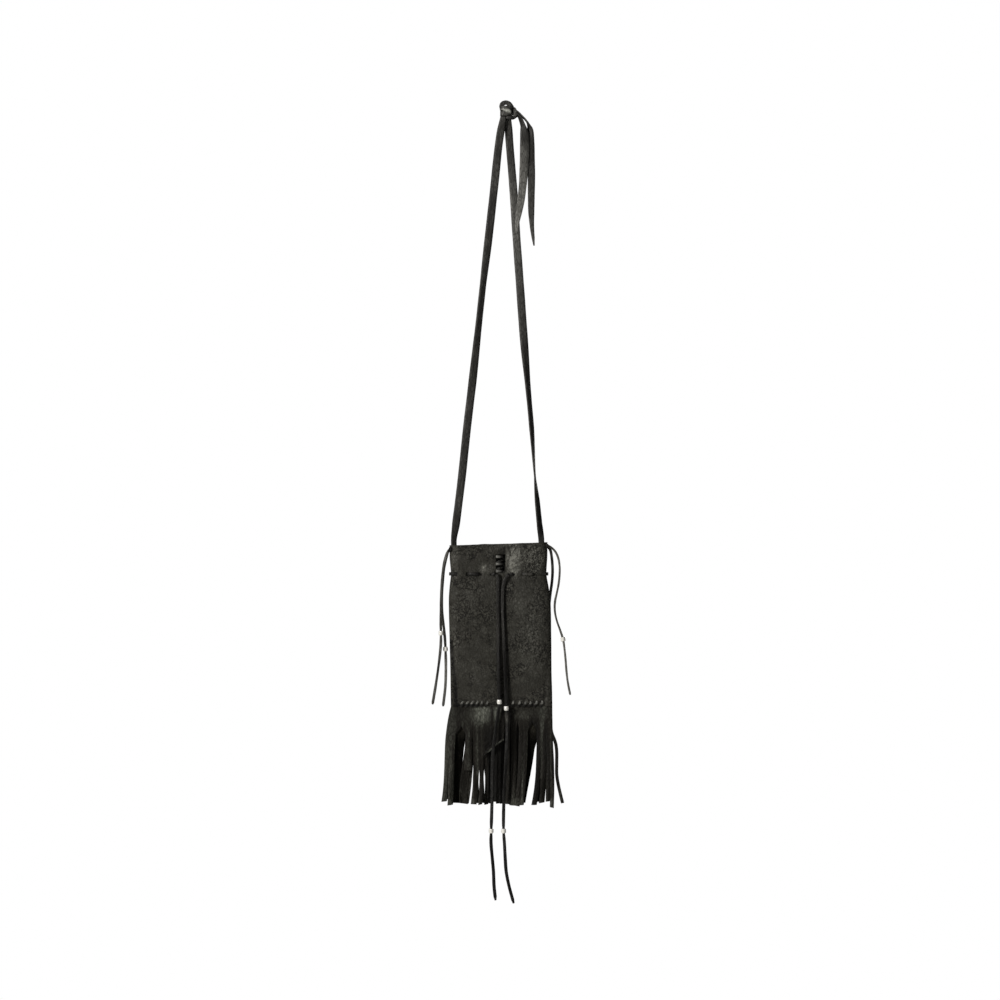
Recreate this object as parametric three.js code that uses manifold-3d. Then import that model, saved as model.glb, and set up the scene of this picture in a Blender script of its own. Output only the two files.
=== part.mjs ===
// Fringed leather neck pouch, hanging by the knot of its strap.
// Millimetres, +Z up. The origin is the middle of the eye in the knot, where the pouch hangs.
// X runs to the right and Y runs back, so the front of the pouch faces -Y.

import * as THREE from "three";
import { mergeVertices } from "three/addons/utils/BufferGeometryUtils.js";
import Module from "manifold-3d";

const wasm = await Module();
wasm.setup();

// Leather stock
const WALL = 1.8; // pouch leather
const GAP = 0.35; // room between pieces that touch
const LACE_RADIUS = 1.3; // round stand-in for a flat lace of the same section
const COIL_LACE_RADIUS = 0.95;
const LACE_SIDES = 8;
const STEP_PER_DIAMETER = 4.4; // length of a lace's step, in its own diameters

// Pouch: the outline of its wall at each height, measured down from the rim
const RIM_Z = -505;
const POUCH_SECTIONS = [
  { drop: 0, centreX: -8.6, halfWidth: 56.1, halfDepth: 9, squareness: 3.2 },
  { drop: 15, centreX: -8.6, halfWidth: 56.1, halfDepth: 9.6, squareness: 3.2 },
  { drop: 33, centreX: -8.4, halfWidth: 55, halfDepth: 8.3, squareness: 3 },
  { drop: 47, centreX: -8, halfWidth: 56.8, halfDepth: 9.8, squareness: 2.8 },
  { drop: 63, centreX: -7.3, halfWidth: 58.5, halfDepth: 10.8, squareness: 2.6 },
  { drop: 109, centreX: -6.4, halfWidth: 58.5, halfDepth: 11, squareness: 2.6 },
  { drop: 145, centreX: -5.8, halfWidth: 58.1, halfDepth: 8.6, squareness: 2.8 },
  { drop: 170, centreX: -5.3, halfWidth: 58.3, halfDepth: 5.4, squareness: 3.4 },
  { drop: 185, centreX: -5.1, halfWidth: 58.3, halfDepth: 3.9, squareness: 4 },
];
const POUCH_HEIGHT = 185;
const CAVITY_DEPTH = 174.5;
const POUCH_SIDES = 36;
const WALL_ROWS = [0, 10, 20, 27, 33, 39, 48, 63, 86, 109, 130, 148, 166, 185];
const CAVITY_ROWS = [-8, 10, 20, 27, 33, 39, 48, 63, 109, 148, CAVITY_DEPTH];
const RIM_TILT = 1.8; // the rim's right end stands higher by this, its left end lower
const RIM_RISE = 1; // height of the whole rim above its own level
const RUFFLE = { count: 7, depth: 0.7, fades: 30 }; // soft waves of the collar
const GATHER = { count: 10, depth: 0.8, reach: 11 }; // small folds drawn in by the drawstring

// Drawstring: slits along the wall, measured from the middle of the front or of the back
const DRAW_DROP = 33;
const RIGHT_SLITS = [17, 28, 40, 51];
const LEFT_SLITS = [8, 22, 36, 49];
const BACK_SLITS = [50, 38, 25, 11];
const SLIT_RUN = 4.5; // half the length over which the lace passes through the wall
const SLIT_CUT = { length: 11, depth: 7 }; // along the wall and through it

// Collar lacing: a lace wound round the tab between two upright slits
const COLLAR_TAB = { centreX: -6, halfWidth: 5.5, top: 5.0, pitch: 7.5, turns: 3.4 };
const COLLAR_SLIT = { width: 3.4, depth: 7.2, centre: 5.1, top: 3.2, bottom: 32 };

// Neck strap: each leg runs from inside the pouch's corner up to the knot and twists on the way
const STRAP_WIDTH = 9;
const STRAP_THICKNESS = 2.2;
const STRAP_END_WIDTH = 5.2; // where it is squeezed in the corner and in the knot
const STRAPS = {
  strap_left: {
    side: -1,
    headY: -1.6,
    knot: [-67.3, 0, -509.5],
    route: [
      { x: -57.4, z: -525 },
      { x: -60, z: -501 },
      { x: -57.5, z: -481 },
      { x: -50.7, z: -426 },
      { x: -44.9, z: -371 },
      { x: -38.4, z: -316 },
      { x: -32.3, z: -260.5 },
      { x: -26.3, z: -205 },
      { x: -19.8, z: -150 },
      { x: -13.7, z: -95 },
      { x: -7.7, z: -40 },
      { x: -2.1, z: -8 },
    ],
    twist: [
      { z: -525, turn: 10 },
      { z: -501, turn: 20 },
      { z: -481, turn: 15 },
      { z: -454, turn: 0 },
      { z: -330, turn: 5 },
      { z: -288, turn: 22 },
      { z: -260, turn: 38 },
      { z: -233, turn: 42 },
      { z: -205, turn: 41 },
      { z: -178, turn: 25 },
      { z: -150, turn: 8 },
      { z: -110, turn: 0 },
      { z: -8, turn: 0 },
    ],
  },
  strap_right: {
    side: 1,
    headY: 1.6,
    knot: [50.2, 0, -507.5],
    route: [
      { x: 39.6, z: -525 },
      { x: 40.7, z: -501 },
      { x: 38.6, z: -481 },
      { x: 36, z: -454 },
      { x: 33.6, z: -426 },
      { x: 30, z: -371 },
      { x: 25.1, z: -316 },
      { x: 20.3, z: -260.5 },
      { x: 16.2, z: -205 },
      { x: 12, z: -150 },
      { x: 8.4, z: -95 },
      { x: 3.9, z: -40 },
      { x: 2, z: -8 },
    ],
    twist: [
      { z: -525, turn: 0 },
      { z: -501, turn: 0 },
      { z: -494, turn: 25 },
      { z: -481, turn: 52 },
      { z: -454, turn: 58 },
      { z: -426, turn: 88 },
      { z: -398, turn: 74 },
      { z: -371, turn: 60 },
      { z: -343, turn: 60 },
      { z: -316, turn: 50 },
      { z: -288, turn: 25 },
      { z: -265, turn: 8 },
      { z: -200, turn: 0 },
      { z: -8, turn: 0 },
    ],
  },
};
const STRAP_SQUEEZE = 24; // length over which a leg narrows to its end width
const STEM_RADIUS = 1.7;
const CORNER_KNOT = { radius: 2.4, deeper: 1.15, sides: 12, rings: 8 };
const CORNER_HOLE_LENGTH = 12;
const STRAP_STOPS = 26;
const ROUND_SIDES = 12;

// Knot: a band wound round both legs, an arch above it that leaves the eye, and a lump below
const BAND = { innerRadius: 6.4, outerRadius: 7.9, height: 7.4, z: -8.5, sides: 18 };
const ARCH = {
  radius: 5.2,
  wider: 1.1,
  thickness: 3.4,
  width: 7.5,
  centreZ: -0.6,
  footZ: -6.9,
  bends: 10,
};
const LUMP = { radius: 3.0, place: [8.6, -1.0, -12.6], sides: 10, rings: 7 };

// Free ends of the strap: the middle of the ribbon, its turn about its own length and its width
const STRAP_TAIL_THICKNESS = 2.0;
const STRAP_TAILS = {
  strap_tail_outer: [
    { x: 9.6, y: -1.5, z: -4.6, turn: 90, width: 6 },
    { x: 13.2, y: -1.8, z: -6.8, turn: 86, width: 7 },
    { x: 17.8, y: -2.2, z: -11.4, turn: 76, width: 8 },
    { x: 22.4, y: -2.6, z: -18, turn: 62, width: 8.4 },
    { x: 25.9, y: -3, z: -26, turn: 40, width: 8.6 },
    { x: 27.9, y: -3.2, z: -37, turn: 14, width: 8.6 },
    { x: 28.9, y: -3.4, z: -52, turn: 0, width: 8.6 },
    { x: 29.3, y: -3.6, z: -80, turn: 0, width: 8.6 },
    { x: 29, y: -3.6, z: -106, turn: 0, width: 8 },
    { x: 29.1, y: -3.4, z: -124, turn: 2, width: 7 },
    { x: 29.9, y: -3.3, z: -140, turn: 4, width: 5 },
    { x: 31.2, y: -3.2, z: -152, turn: 6, width: 3.6 },
    { x: 32.2, y: -3.2, z: -161.5, turn: 6, width: 2.6 },
  ],
  strap_tail_inner: [
    { x: 9.6, y: -1.5, z: -7.4, turn: 90, width: 6 },
    { x: 12.8, y: -2.4, z: -10, turn: 80, width: 6.4 },
    { x: 16.6, y: -3.8, z: -15.2, turn: 52, width: 7 },
    { x: 19.2, y: -5, z: -23, turn: 24, width: 7.8 },
    { x: 20.2, y: -5.7, z: -34, turn: 6, width: 8.2 },
    { x: 20.3, y: -6, z: -50, turn: 0, width: 8.2 },
    { x: 19.9, y: -6, z: -75, turn: 0, width: 8.1 },
    { x: 19.1, y: -5.8, z: -93, turn: 0, width: 7.8 },
    { x: 17, y: -5.6, z: -110, turn: 6, width: 7.6 },
    { x: 14.6, y: -5.4, z: -124, turn: 10, width: 6.8 },
    { x: 12.6, y: -5.2, z: -136, turn: 14, width: 4.8 },
    { x: 11.8, y: -5, z: -147, turn: 16, width: 2.6 },
  ],
};

// Free laces: the points that each one hangs through, and the heights of the beads on it
const LACES = {
  side_lace_left_outer: {
    beads: { bead_left_outer: -606 },
    points: [
      [-67, -1.7, -513],
      [-69, -1.8, -518],
      [-71.7, -1.9, -529],
      [-73.5, -2, -545],
      [-74.3, -2.1, -562.5],
      [-74.7, -2.2, -579.5],
      [-74.9, -2.2, -597],
      [-74.7, -2.2, -608],
      [-75, -2.2, -620],
      [-76.3, -2.2, -634],
      [-78.5, -2.2, -651],
      [-81.3, -2.1, -669.5],
      [-84.4, -2, -688],
    ],
  },
  side_lace_left_inner: {
    beads: { bead_left_inner: -624.5 },
    points: [
      [-66.9, 1.6, -513],
      [-68.6, 1.8, -519],
      [-71.1, 1.9, -530],
      [-72.9, 2, -547],
      [-73.8, 2.1, -564.5],
      [-73.6, 2.2, -580],
      [-71.8, 2.2, -597],
      [-70.3, 2.2, -612],
      [-69.6, 2.2, -625],
      [-69.2, 2.2, -638],
      [-69.2, 2.2, -651],
      [-69.8, 2.1, -668],
      [-72.4, 2, -690.5],
    ],
  },
  side_lace_right_outer: {
    beads: { bead_right_outer: -613 },
    points: [
      [54, -1, -509.4],
      [57.2, -1.2, -513.2],
      [60.1, -1.4, -520],
      [61.6, -1.5, -529],
      [61.6, -1.6, -538],
      [60.6, -1.7, -548.5],
      [58.6, -1.8, -559],
      [56.6, -1.9, -568],
      [55.9, -2, -575.5],
      [56.5, -2, -583.5],
      [58.6, -2, -592.5],
      [62.3, -2, -603],
      [65.6, -2, -613.5],
      [67.3, -2, -625],
      [68.5, -2, -637],
      [69.4, -2, -649],
      [71.1, -1.9, -663],
      [73.8, -1.8, -677],
    ],
  },
  side_lace_right_inner: {
    beads: { bead_right_inner: -612 },
    points: [
      [51.2, 1.6, -511.2],
      [52.2, 1.9, -516],
      [53.2, 2.4, -525],
      [53.6, 3.2, -536],
      [52.9, 5, -547.5],
      [51.4, 7, -559],
      [49.9, 8.4, -573],
      [48.7, 9, -591],
      [47.9, 9.1, -614],
      [47.3, 9, -637],
      [46.7, 8.8, -672],
    ],
  },
  drawstring_tail_left: {
    beads: { bead_front_left: -684.6, bead_low_left: -832.5 },
    points: [
      [-11.2, -9.9, -538.1],
      [-10.2, -10.4, -539.6],
      [-9.4, -10.9, -543.8],
      [-9.1, -11.4, -551],
      [-9.1, -12.3, -568],
      [-9.1, -12.9, -600],
      [-8.9, -12, -640],
      [-8.3, -9.2, -670],
      [-7.6, -7.9, -685],
      [-9, -7.6, -697],
      [-11.4, -7.8, -713],
      [-14.2, -8.8, -736],
      [-15.9, -9.3, -764],
      [-16.1, -9.4, -798],
      [-17, -9.4, -832],
      [-17.2, -9.4, -846],
      [-15.9, -9.4, -862],
      [-14.4, -9.4, -879],
      [-13.7, -9.4, -896],
      [-12, -9.4, -912],
    ],
  },
  drawstring_tail_right: {
    beads: { bead_front_right: -692, bead_low_right: -832.5 },
    points: [
      [3.8, -9.9, -538.1],
      [1.2, -10.4, -540.3],
      [-1.7, -10.9, -545.6],
      [-3.3, -11.4, -552.5],
      [-4, -12.3, -568],
      [-3.7, -12.8, -588],
      [-2.7, -13, -610],
      [-1.4, -12.2, -638],
      [-0.3, -9, -672],
      [0.4, -7.7, -692],
      [1.1, -7.7, -708],
      [0.9, -8.4, -728],
      [-0.2, -9.1, -752],
      [-1.8, -9.4, -780],
      [-2.7, -9.4, -806],
      [-2.8, -9.4, -832],
      [-1.8, -9.4, -847],
      [-0.9, -9.4, -864],
      [0.2, -9.4, -879],
      [3.3, -9.4, -895],
      [8.8, -9.4, -915.5],
    ],
  },
};
const BEAD = { radius: 2.8, bore: 1.7, halfLength: 2.6, chamfer: 0.7, sides: 10 };

// Fringe: two layers whose heads sit in a slot in the pouch's bottom edge
const FRINGE = { thickness: 1.7, between: 0.4, headDepth: 7, headWidth: 105, headOverlap: 2, clear: 0.4 };
const SLOT = { width: 106, depth: 8 };
const STRIP_THICKNESS = 1.6;
const STRIP_OVERLAP = 3; // length of each strip that is fused into its panel
const STRIP_SECTIONS = 4;
const STRIP_FLARE = 1.4; // how late along its length a strip bends outwards

// Uncut part of each layer below the seam, as places across and lengths down
const FRONT_PANEL = [
  [-63.3, 0],
  [-66.4, 16],
  [-52, 16],
  [-46, 21],
  [-37.2, 21],
  [-37, 72],
  [-26.6, 72],
  [-26.4, 57],
  [-3, 40],
  [-1, 18],
  [30, 18],
  [35.3, 24],
  [35, 44],
  [53.6, 44],
  [53.2, 0],
];
const BACK_PANEL = [
  [-63.2, 0],
  [-65.6, 14],
  [-58.4, 14],
  [-58.2, 41],
  [-37.2, 41],
  [-36.9, 72],
  [-19.6, 72],
  [-19.6, 14],
  [20.7, 14],
  [21.5, 41],
  [53.8, 41],
  [53.2, 0],
];

// Each strip's middle at the seam, at a third and two thirds of its length and at its tip, its width,
// the length down to where its cut starts and to its tip, and how far its tip stands out
const FRONT_STRIPS = [
  { across: [-60.4, -66.4, -67.8, -71.2], width: 5.8, root: 15, reach: 109, out: 2.5 },
  { across: [-55.5, -61.5, -63, -64.3], width: 6.4, root: 15, reach: 113, out: 3.6 },
  { across: [-41, -41.5, -43, -43.6], width: 8.6, root: 20, reach: 73.5, out: 2.2 },
  { across: [-35, -34.6, -34.6, -37], width: 6.4, root: 72, reach: 111, out: 2.6 },
  { across: [-28.8, -28.6, -28.1, -29.6], width: 4.2, root: 72, reach: 111.5, out: 2 },
  { across: [1.4, 1.4, 1.6, 1.6], width: 5, root: 17, reach: 112, out: 2.2 },
  { across: [9, 9.2, 9, 7], width: 6, root: 17, reach: 113.5, out: 2.6 },
  { across: [17.6, 17.4, 16.2, 12.6], width: 5.2, root: 17, reach: 114, out: 4.4 },
  { across: [22.6, 22.4, 21, 17.6], width: 5, root: 17, reach: 113, out: 5 },
  { across: [38.2, 37.9, 37, 32.2], width: 5.6, root: 43, reach: 113, out: 2.8 },
  { across: [43.2, 43.2, 43.1, 40.8], width: 6.4, root: 43, reach: 110.5, out: 2.2 },
  { across: [48.3, 48.5, 48.7, 48.2], width: 5, root: 43, reach: 109, out: 1.6 },
  { across: [51, 51.8, 53, 52.8], width: 4.4, root: 43, reach: 116, out: 2.4 },
];
const BACK_STRIPS = [
  { across: [-60.2, -65.6, -66.8, -69.6], width: 5.6, root: 13, reach: 107, out: 2.4 },
  { across: [-53.1, -53.4, -54.4, -54.8], width: 10.8, root: 40, reach: 110, out: 1.6 },
  { across: [-41.5, -41.8, -44.6, -47], width: 7.6, root: 40, reach: 111, out: 2.2 },
  { across: [-36.5, -38, -40.9, -45.4], width: 4.8, root: 40, reach: 111, out: 1.8 },
  { across: [-34.4, -34.4, -34.5, -32], width: 4.6, root: 72, reach: 110, out: 1.6 },
  { across: [-28.6, -28.4, -27.9, -25.6], width: 3.2, root: 72, reach: 110, out: 2 },
  { across: [-22.6, -22.2, -21.7, -25], width: 4.4, root: 72, reach: 112, out: 1.4 },
  { across: [-17.4, -17.5, -17.6, -17.6], width: 4.8, root: 13, reach: 112, out: 2.4 },
  { across: [-13.2, -13.3, -13.4, -13.4], width: 4.8, root: 13, reach: 110, out: 1.8 },
  { across: [-8.8, -8.8, -9, -9], width: 5, root: 13, reach: 112, out: 2 },
  { across: [-4.2, -4.2, -4.3, -4.4], width: 5, root: 13, reach: 112, out: 1.4 },
  { across: [0.4, 0.2, 0, -0.4], width: 4.8, root: 13, reach: 111, out: 2.2 },
  { across: [5.2, 5.2, 5.2, 5], width: 5.2, root: 13, reach: 112, out: 1.8 },
  { across: [10.6, 10.6, 10.4, 9.8], width: 6.4, root: 13, reach: 112, out: 2.4 },
  { across: [16.6, 16.8, 16.2, 13.2], width: 6.2, root: 13, reach: 111, out: 1.6 },
  { across: [24, 25.4, 22, 15.6], width: 6.8, root: 40, reach: 111, out: 2.2 },
  { across: [33, 31.5, 26.2, 19.5], width: 5.4, root: 40, reach: 111, out: 1.8 },
  { across: [39.8, 39.4, 38.6, 35.6], width: 5.4, root: 40, reach: 110, out: 1.8 },
  { across: [44.6, 44.6, 44.2, 41.6], width: 5.2, root: 40, reach: 110, out: 2.4 },
  { across: [49.2, 49.2, 48.9, 48.6], width: 5.6, root: 40, reach: 109, out: 1.6 },
  { across: [51.6, 52.2, 52.8, 52.6], width: 3.4, root: 40, reach: 113, out: 2 },
];

// A strip cut from the front layer's right edge that has swung away from the others
const LONE_STRIP_WIDTH = 3.4;
const LONE_STRIP = [
  { x: 50.6, down: 18 },
  { x: 52.8, down: 31 },
  { x: 56, down: 39 },
  { x: 57.4, down: 44 },
  { x: 58.3, down: 53 },
  { x: 58.3, down: 64 },
  { x: 58.3, down: 78 },
  { x: 59.7, down: 88 },
  { x: 62.1, down: 99 },
  { x: 65, down: 111 },
];

const finishes = {
  body: new THREE.MeshStandardMaterial({ color: 0x302e2a, roughness: 0.55, metalness: 0 }),
  fringe: new THREE.MeshStandardMaterial({ color: 0x2c2b28, roughness: 0.5, metalness: 0 }),
  strap: new THREE.MeshStandardMaterial({ color: 0x3a3935, roughness: 0.5, metalness: 0 }),
  lace: new THREE.MeshStandardMaterial({ color: 0x1c1b19, roughness: 0.55, metalness: 0 }),
  bead: new THREE.MeshStandardMaterial({ color: 0xf2f1ec, roughness: 0.2, metalness: 0 }),
};

// Solids from geometry and back
function solid(geometry) {
  const bare = geometry.clone();
  bare.deleteAttribute("normal");
  bare.deleteAttribute("uv");
  const merged = mergeVertices(bare, 1e-4);
  return new wasm.Manifold(
    new wasm.Mesh({
      numProp: 3,
      vertProperties: new Float32Array(merged.attributes.position.array),
      triVerts: new Uint32Array(merged.index.array),
    }),
  );
}

function geometryOf(made) {
  const mesh = made.getMesh();
  const geometry = new THREE.BufferGeometry();
  geometry.setAttribute("position", new THREE.BufferAttribute(mesh.vertProperties, 3));
  geometry.setIndex(new THREE.BufferAttribute(mesh.triVerts, 1));
  geometry.computeVertexNormals();
  return geometry;
}

function joined(geometries) {
  const solids = geometries.map(solid);
  return solids.reduce((whole, piece) => whole.add(piece));
}

// Closed body through rings of points; each ring runs anticlockwise seen from the last one
function loft(rings) {
  const around = rings[0].length;
  const points = rings.flat();
  const faces = [];
  for (let row = 0; row + 1 < rings.length; row++) {
    for (let i = 0; i < around; i++) {
      const next = (i + 1) % around;
      const low = row * around;
      const high = low + around;
      faces.push(low + i, low + next, high + next);
      faces.push(low + i, high + next, high + i);
    }
  }
  const ends = [rings[0], rings[rings.length - 1]];
  ends.forEach((ring, end) => {
    const middle = points.length;
    const first = end * (rings.length - 1) * around;
    const sum = ring.reduce((total, point) => total.add(point), new THREE.Vector3());
    points.push(sum.divideScalar(around));
    for (let i = 0; i < around; i++) {
      const next = (i + 1) % around;
      const edge = end === 0 ? [next, i] : [i, next];
      faces.push(middle, first + edge[0], first + edge[1]);
    }
  });
  const geometry = new THREE.BufferGeometry().setFromPoints(points);
  geometry.setIndex(faces);
  return geometry;
}

// Flat leather ribbon through stations; a turn of 0 shows its flat side to the front
function ribbon(stations, thickness) {
  const back = new THREE.Vector3(0, 1, 0);
  const places = stations.map((row) => new THREE.Vector3(row.x, row.y, row.z));
  const rings = stations.map((row, i) => {
    const before = places[Math.max(i - 1, 0)];
    const after = places[Math.min(i + 1, places.length - 1)];
    const along = after.clone().sub(before).normalize();
    const across = along.clone().cross(back).normalize();
    across.applyAxisAngle(along, THREE.MathUtils.degToRad(row.turn));
    const through = along.clone().cross(across);
    const corners = [[1, 1], [-1, 1], [-1, -1], [1, -1]];
    return corners.map(([a, t]) =>
      places[i]
        .clone()
        .addScaledVector(across, (a * row.width) / 2)
        .addScaledVector(through, (t * thickness) / 2),
    );
  });
  return loft(rings);
}

// Round tube along a curve, with flat ends
function tube(curve, radius, step) {
  const corners = Array.from({ length: LACE_SIDES }, (_, i) => {
    const angle = ((i + 0.5) / LACE_SIDES) * 2 * Math.PI;
    return new THREE.Vector2(radius * Math.cos(angle), radius * Math.sin(angle));
  });
  return new THREE.ExtrudeGeometry(new THREE.Shape(corners), {
    steps: Math.ceil(curve.getLength() / step),
    extrudePath: curve,
    bevelEnabled: false,
  });
}

// Pouch wall
const sectionColumns = ["centreX", "halfWidth", "halfDepth", "squareness"];
const sections = new THREE.CubicInterpolant(
  POUCH_SECTIONS.map((row) => row.drop),
  POUCH_SECTIONS.flatMap((row) => sectionColumns.map((name) => row[name])),
  sectionColumns.length,
  new Array(sectionColumns.length),
);

function sectionAt(drop) {
  const [centreX, halfWidth, halfDepth, squareness] = sections.evaluate(drop);
  return { centreX, halfWidth, halfDepth, squareness };
}

function foldsAt(drop, angle) {
  const collar = THREE.MathUtils.clamp(1 - drop / RUFFLE.fades, 0, 1);
  const drawn = Math.exp(-(((drop - DRAW_DROP) / GATHER.reach) ** 2));
  return (
    RUFFLE.depth * collar * Math.sin(RUFFLE.count * angle) +
    GATHER.depth * drawn * (Math.cos(GATHER.count * angle) - 1) * 0.5
  );
}

function rimLift(drop, x, section) {
  const share = THREE.MathUtils.clamp(1 - drop / DRAW_DROP, 0, 1);
  return share * (RIM_RISE + RIM_TILT * ((x - section.centreX) / section.halfWidth));
}

// Point of the wall's outer face, moved outwards by an offset
function wallPoint(angle, drop, offset) {
  const section = sectionAt(drop);
  const out = offset + foldsAt(drop, angle);
  const rounded = (value) => Math.sign(value) * Math.abs(value) ** (2 / section.squareness);
  const x = section.centreX + (section.halfWidth + out) * rounded(Math.cos(angle));
  const y = (section.halfDepth + out) * rounded(Math.sin(angle));
  return new THREE.Vector3(x, y, RIM_Z - drop + rimLift(drop, x, section));
}

function wallLoft(rows, offset) {
  const upwards = rows.toReversed();
  return loft(
    upwards.map((drop) =>
      Array.from({ length: POUCH_SIDES }, (_, i) =>
        wallPoint(((i + 0.5) / POUCH_SIDES) * 2 * Math.PI, drop, offset),
      ),
    ),
  );
}

// Point of the front wall at a place across it, out from the middle of the leather
function frontPoint(x, drop, out) {
  const section = sectionAt(drop);
  const share = (x - section.centreX) / section.halfWidth;
  const angle = -Math.acos(Math.sign(share) * Math.abs(share) ** (section.squareness / 2));
  return wallPoint(angle, drop, out - WALL / 2);
}

// Drawstring: follows the wall round and passes through it at each slit
const RING_SAMPLES = 720;
const DRAWSTRING_STOPS = 96;

function drawstringRoute() {
  const ring = Array.from({ length: RING_SAMPLES + 1 }, (_, i) => {
    const angle = -Math.PI / 2 + (i / RING_SAMPLES) * 2 * Math.PI;
    return { angle, place: wallPoint(angle, DRAW_DROP, 0), run: 0 };
  });
  for (let i = 1; i <= RING_SAMPLES; i++) {
    ring[i].run = ring[i - 1].run + ring[i].place.distanceTo(ring[i - 1].place);
  }
  const whole = ring[RING_SAMPLES].run;
  const half = whole / 2;
  const slits = [
    ...RIGHT_SLITS,
    ...BACK_SLITS.map((run) => half - run),
    ...BACK_SLITS.toReversed().map((run) => half + run),
    ...LEFT_SLITS.toReversed().map((run) => whole - run),
  ];
  const outside = LACE_RADIUS + GAP;
  const inside = -WALL - LACE_RADIUS - 2 * GAP;
  const passed = (run) => {
    const steps = slits.map((slit) => THREE.MathUtils.smoothstep(run, slit - SLIT_RUN, slit + SLIT_RUN));
    return steps.reduce((level, share, i) => level + (i % 2 === 0 ? share : -share), 0);
  };
  const first = slits[0] - SLIT_RUN;
  const last = slits[slits.length - 1] + SLIT_RUN;
  const angleAt = (run) => {
    const at = ring.findIndex((row) => row.run >= run);
    const share = (run - ring[at - 1].run) / (ring[at].run - ring[at - 1].run);
    return THREE.MathUtils.lerp(ring[at - 1].angle, ring[at].angle, share);
  };
  const points = Array.from({ length: DRAWSTRING_STOPS + 1 }, (_, i) => {
    const run = first + ((last - first) * i) / DRAWSTRING_STOPS;
    const offset = THREE.MathUtils.lerp(outside, inside, passed(run));
    return wallPoint(angleAt(run), DRAW_DROP, offset);
  });
  const cuts = slits.map((run) => {
    const before = wallPoint(angleAt(run - 1), DRAW_DROP, -WALL / 2);
    const after = wallPoint(angleAt(run + 1), DRAW_DROP, -WALL / 2);
    const heading = Math.atan2(after.y - before.y, after.x - before.x);
    const cut = new THREE.BoxGeometry(SLIT_CUT.length, SLIT_CUT.depth, 2 * outside);
    cut.rotateZ(heading);
    cut.translate((before.x + after.x) / 2, (before.y + after.y) / 2, (before.z + after.z) / 2);
    return cut;
  });
  return { curve: new THREE.CatmullRomCurve3(points), cuts };
}

// Collar lacing: a flat winding with round ends, falling by its pitch on each turn
const COLLAR_STOPS_PER_TURN = 14;

function collarCurve() {
  const reach = WALL / 2 + GAP + COIL_LACE_RADIUS;
  const flat = 2 * (COLLAR_TAB.halfWidth - reach);
  const bend = Math.PI * reach;
  const turn = 2 * (flat + bend);
  const stops = Math.round(COLLAR_TAB.turns * COLLAR_STOPS_PER_TURN);
  const points = Array.from({ length: stops + 1 }, (_, i) => {
    const run = ((COLLAR_TAB.turns * i) / stops) * turn;
    const inTurn = run % turn;
    const firstHalf = inTurn < turn / 2;
    const side = firstHalf ? 1 : -1;
    const along = firstHalf ? inTurn : inTurn - turn / 2;
    const angle = Math.max(along - flat, 0) / reach;
    const x = -flat / 2 + Math.min(along, flat) + reach * Math.sin(angle);
    const out = reach * Math.cos(angle);
    const drop = COLLAR_TAB.top + (COLLAR_TAB.pitch * run) / turn;
    return frontPoint(COLLAR_TAB.centreX + side * x, drop, side * out);
  });
  return new THREE.CatmullRomCurve3(points);
}

const drawstring = drawstringRoute();
const collarLacing = collarCurve();
const DRAWSTRING_STEP = 4;
const COLLAR_STEP = 2.8;

function cornerHole(strap) {
  const radius = STEM_RADIUS + GAP;
  const hole = new THREE.CylinderGeometry(radius, radius, CORNER_HOLE_LENGTH, ROUND_SIDES);
  hole.rotateZ(Math.PI / 2);
  const inwards = strap.side * (CORNER_HOLE_LENGTH / 2);
  hole.translate(strap.knot[0] - inwards, strap.knot[1], strap.knot[2]);
  return hole;
}

function collarSlit(side) {
  const height = COLLAR_SLIT.bottom - COLLAR_SLIT.top;
  const middle = COLLAR_SLIT.top + height / 2;
  const slit = new THREE.BoxGeometry(COLLAR_SLIT.width, COLLAR_SLIT.depth, height);
  const { x, y, z } = frontPoint(COLLAR_TAB.centreX + side * COLLAR_SLIT.centre, middle, 0);
  slit.translate(x, y, z);
  return slit;
}

function pouchBody() {
  const bottom = sectionAt(POUCH_HEIGHT);
  const slotHalfDepth = FRINGE.between / 2 + FRINGE.thickness + GAP;
  const slot = new THREE.BoxGeometry(SLOT.width, 2 * slotHalfDepth, SLOT.depth * 2);
  slot.translate(bottom.centreX, 0, RIM_Z - POUCH_HEIGHT);
  const cuts = [
    wallLoft(CAVITY_ROWS, -WALL),
    slot,
    ...drawstring.cuts,
    collarSlit(-1),
    collarSlit(1),
    ...Object.values(STRAPS).map(cornerHole),
  ];
  const whole = solid(wallLoft(WALL_ROWS, 0));
  return geometryOf(cuts.reduce((body, cut) => body.subtract(solid(cut)), whole));
}

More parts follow.
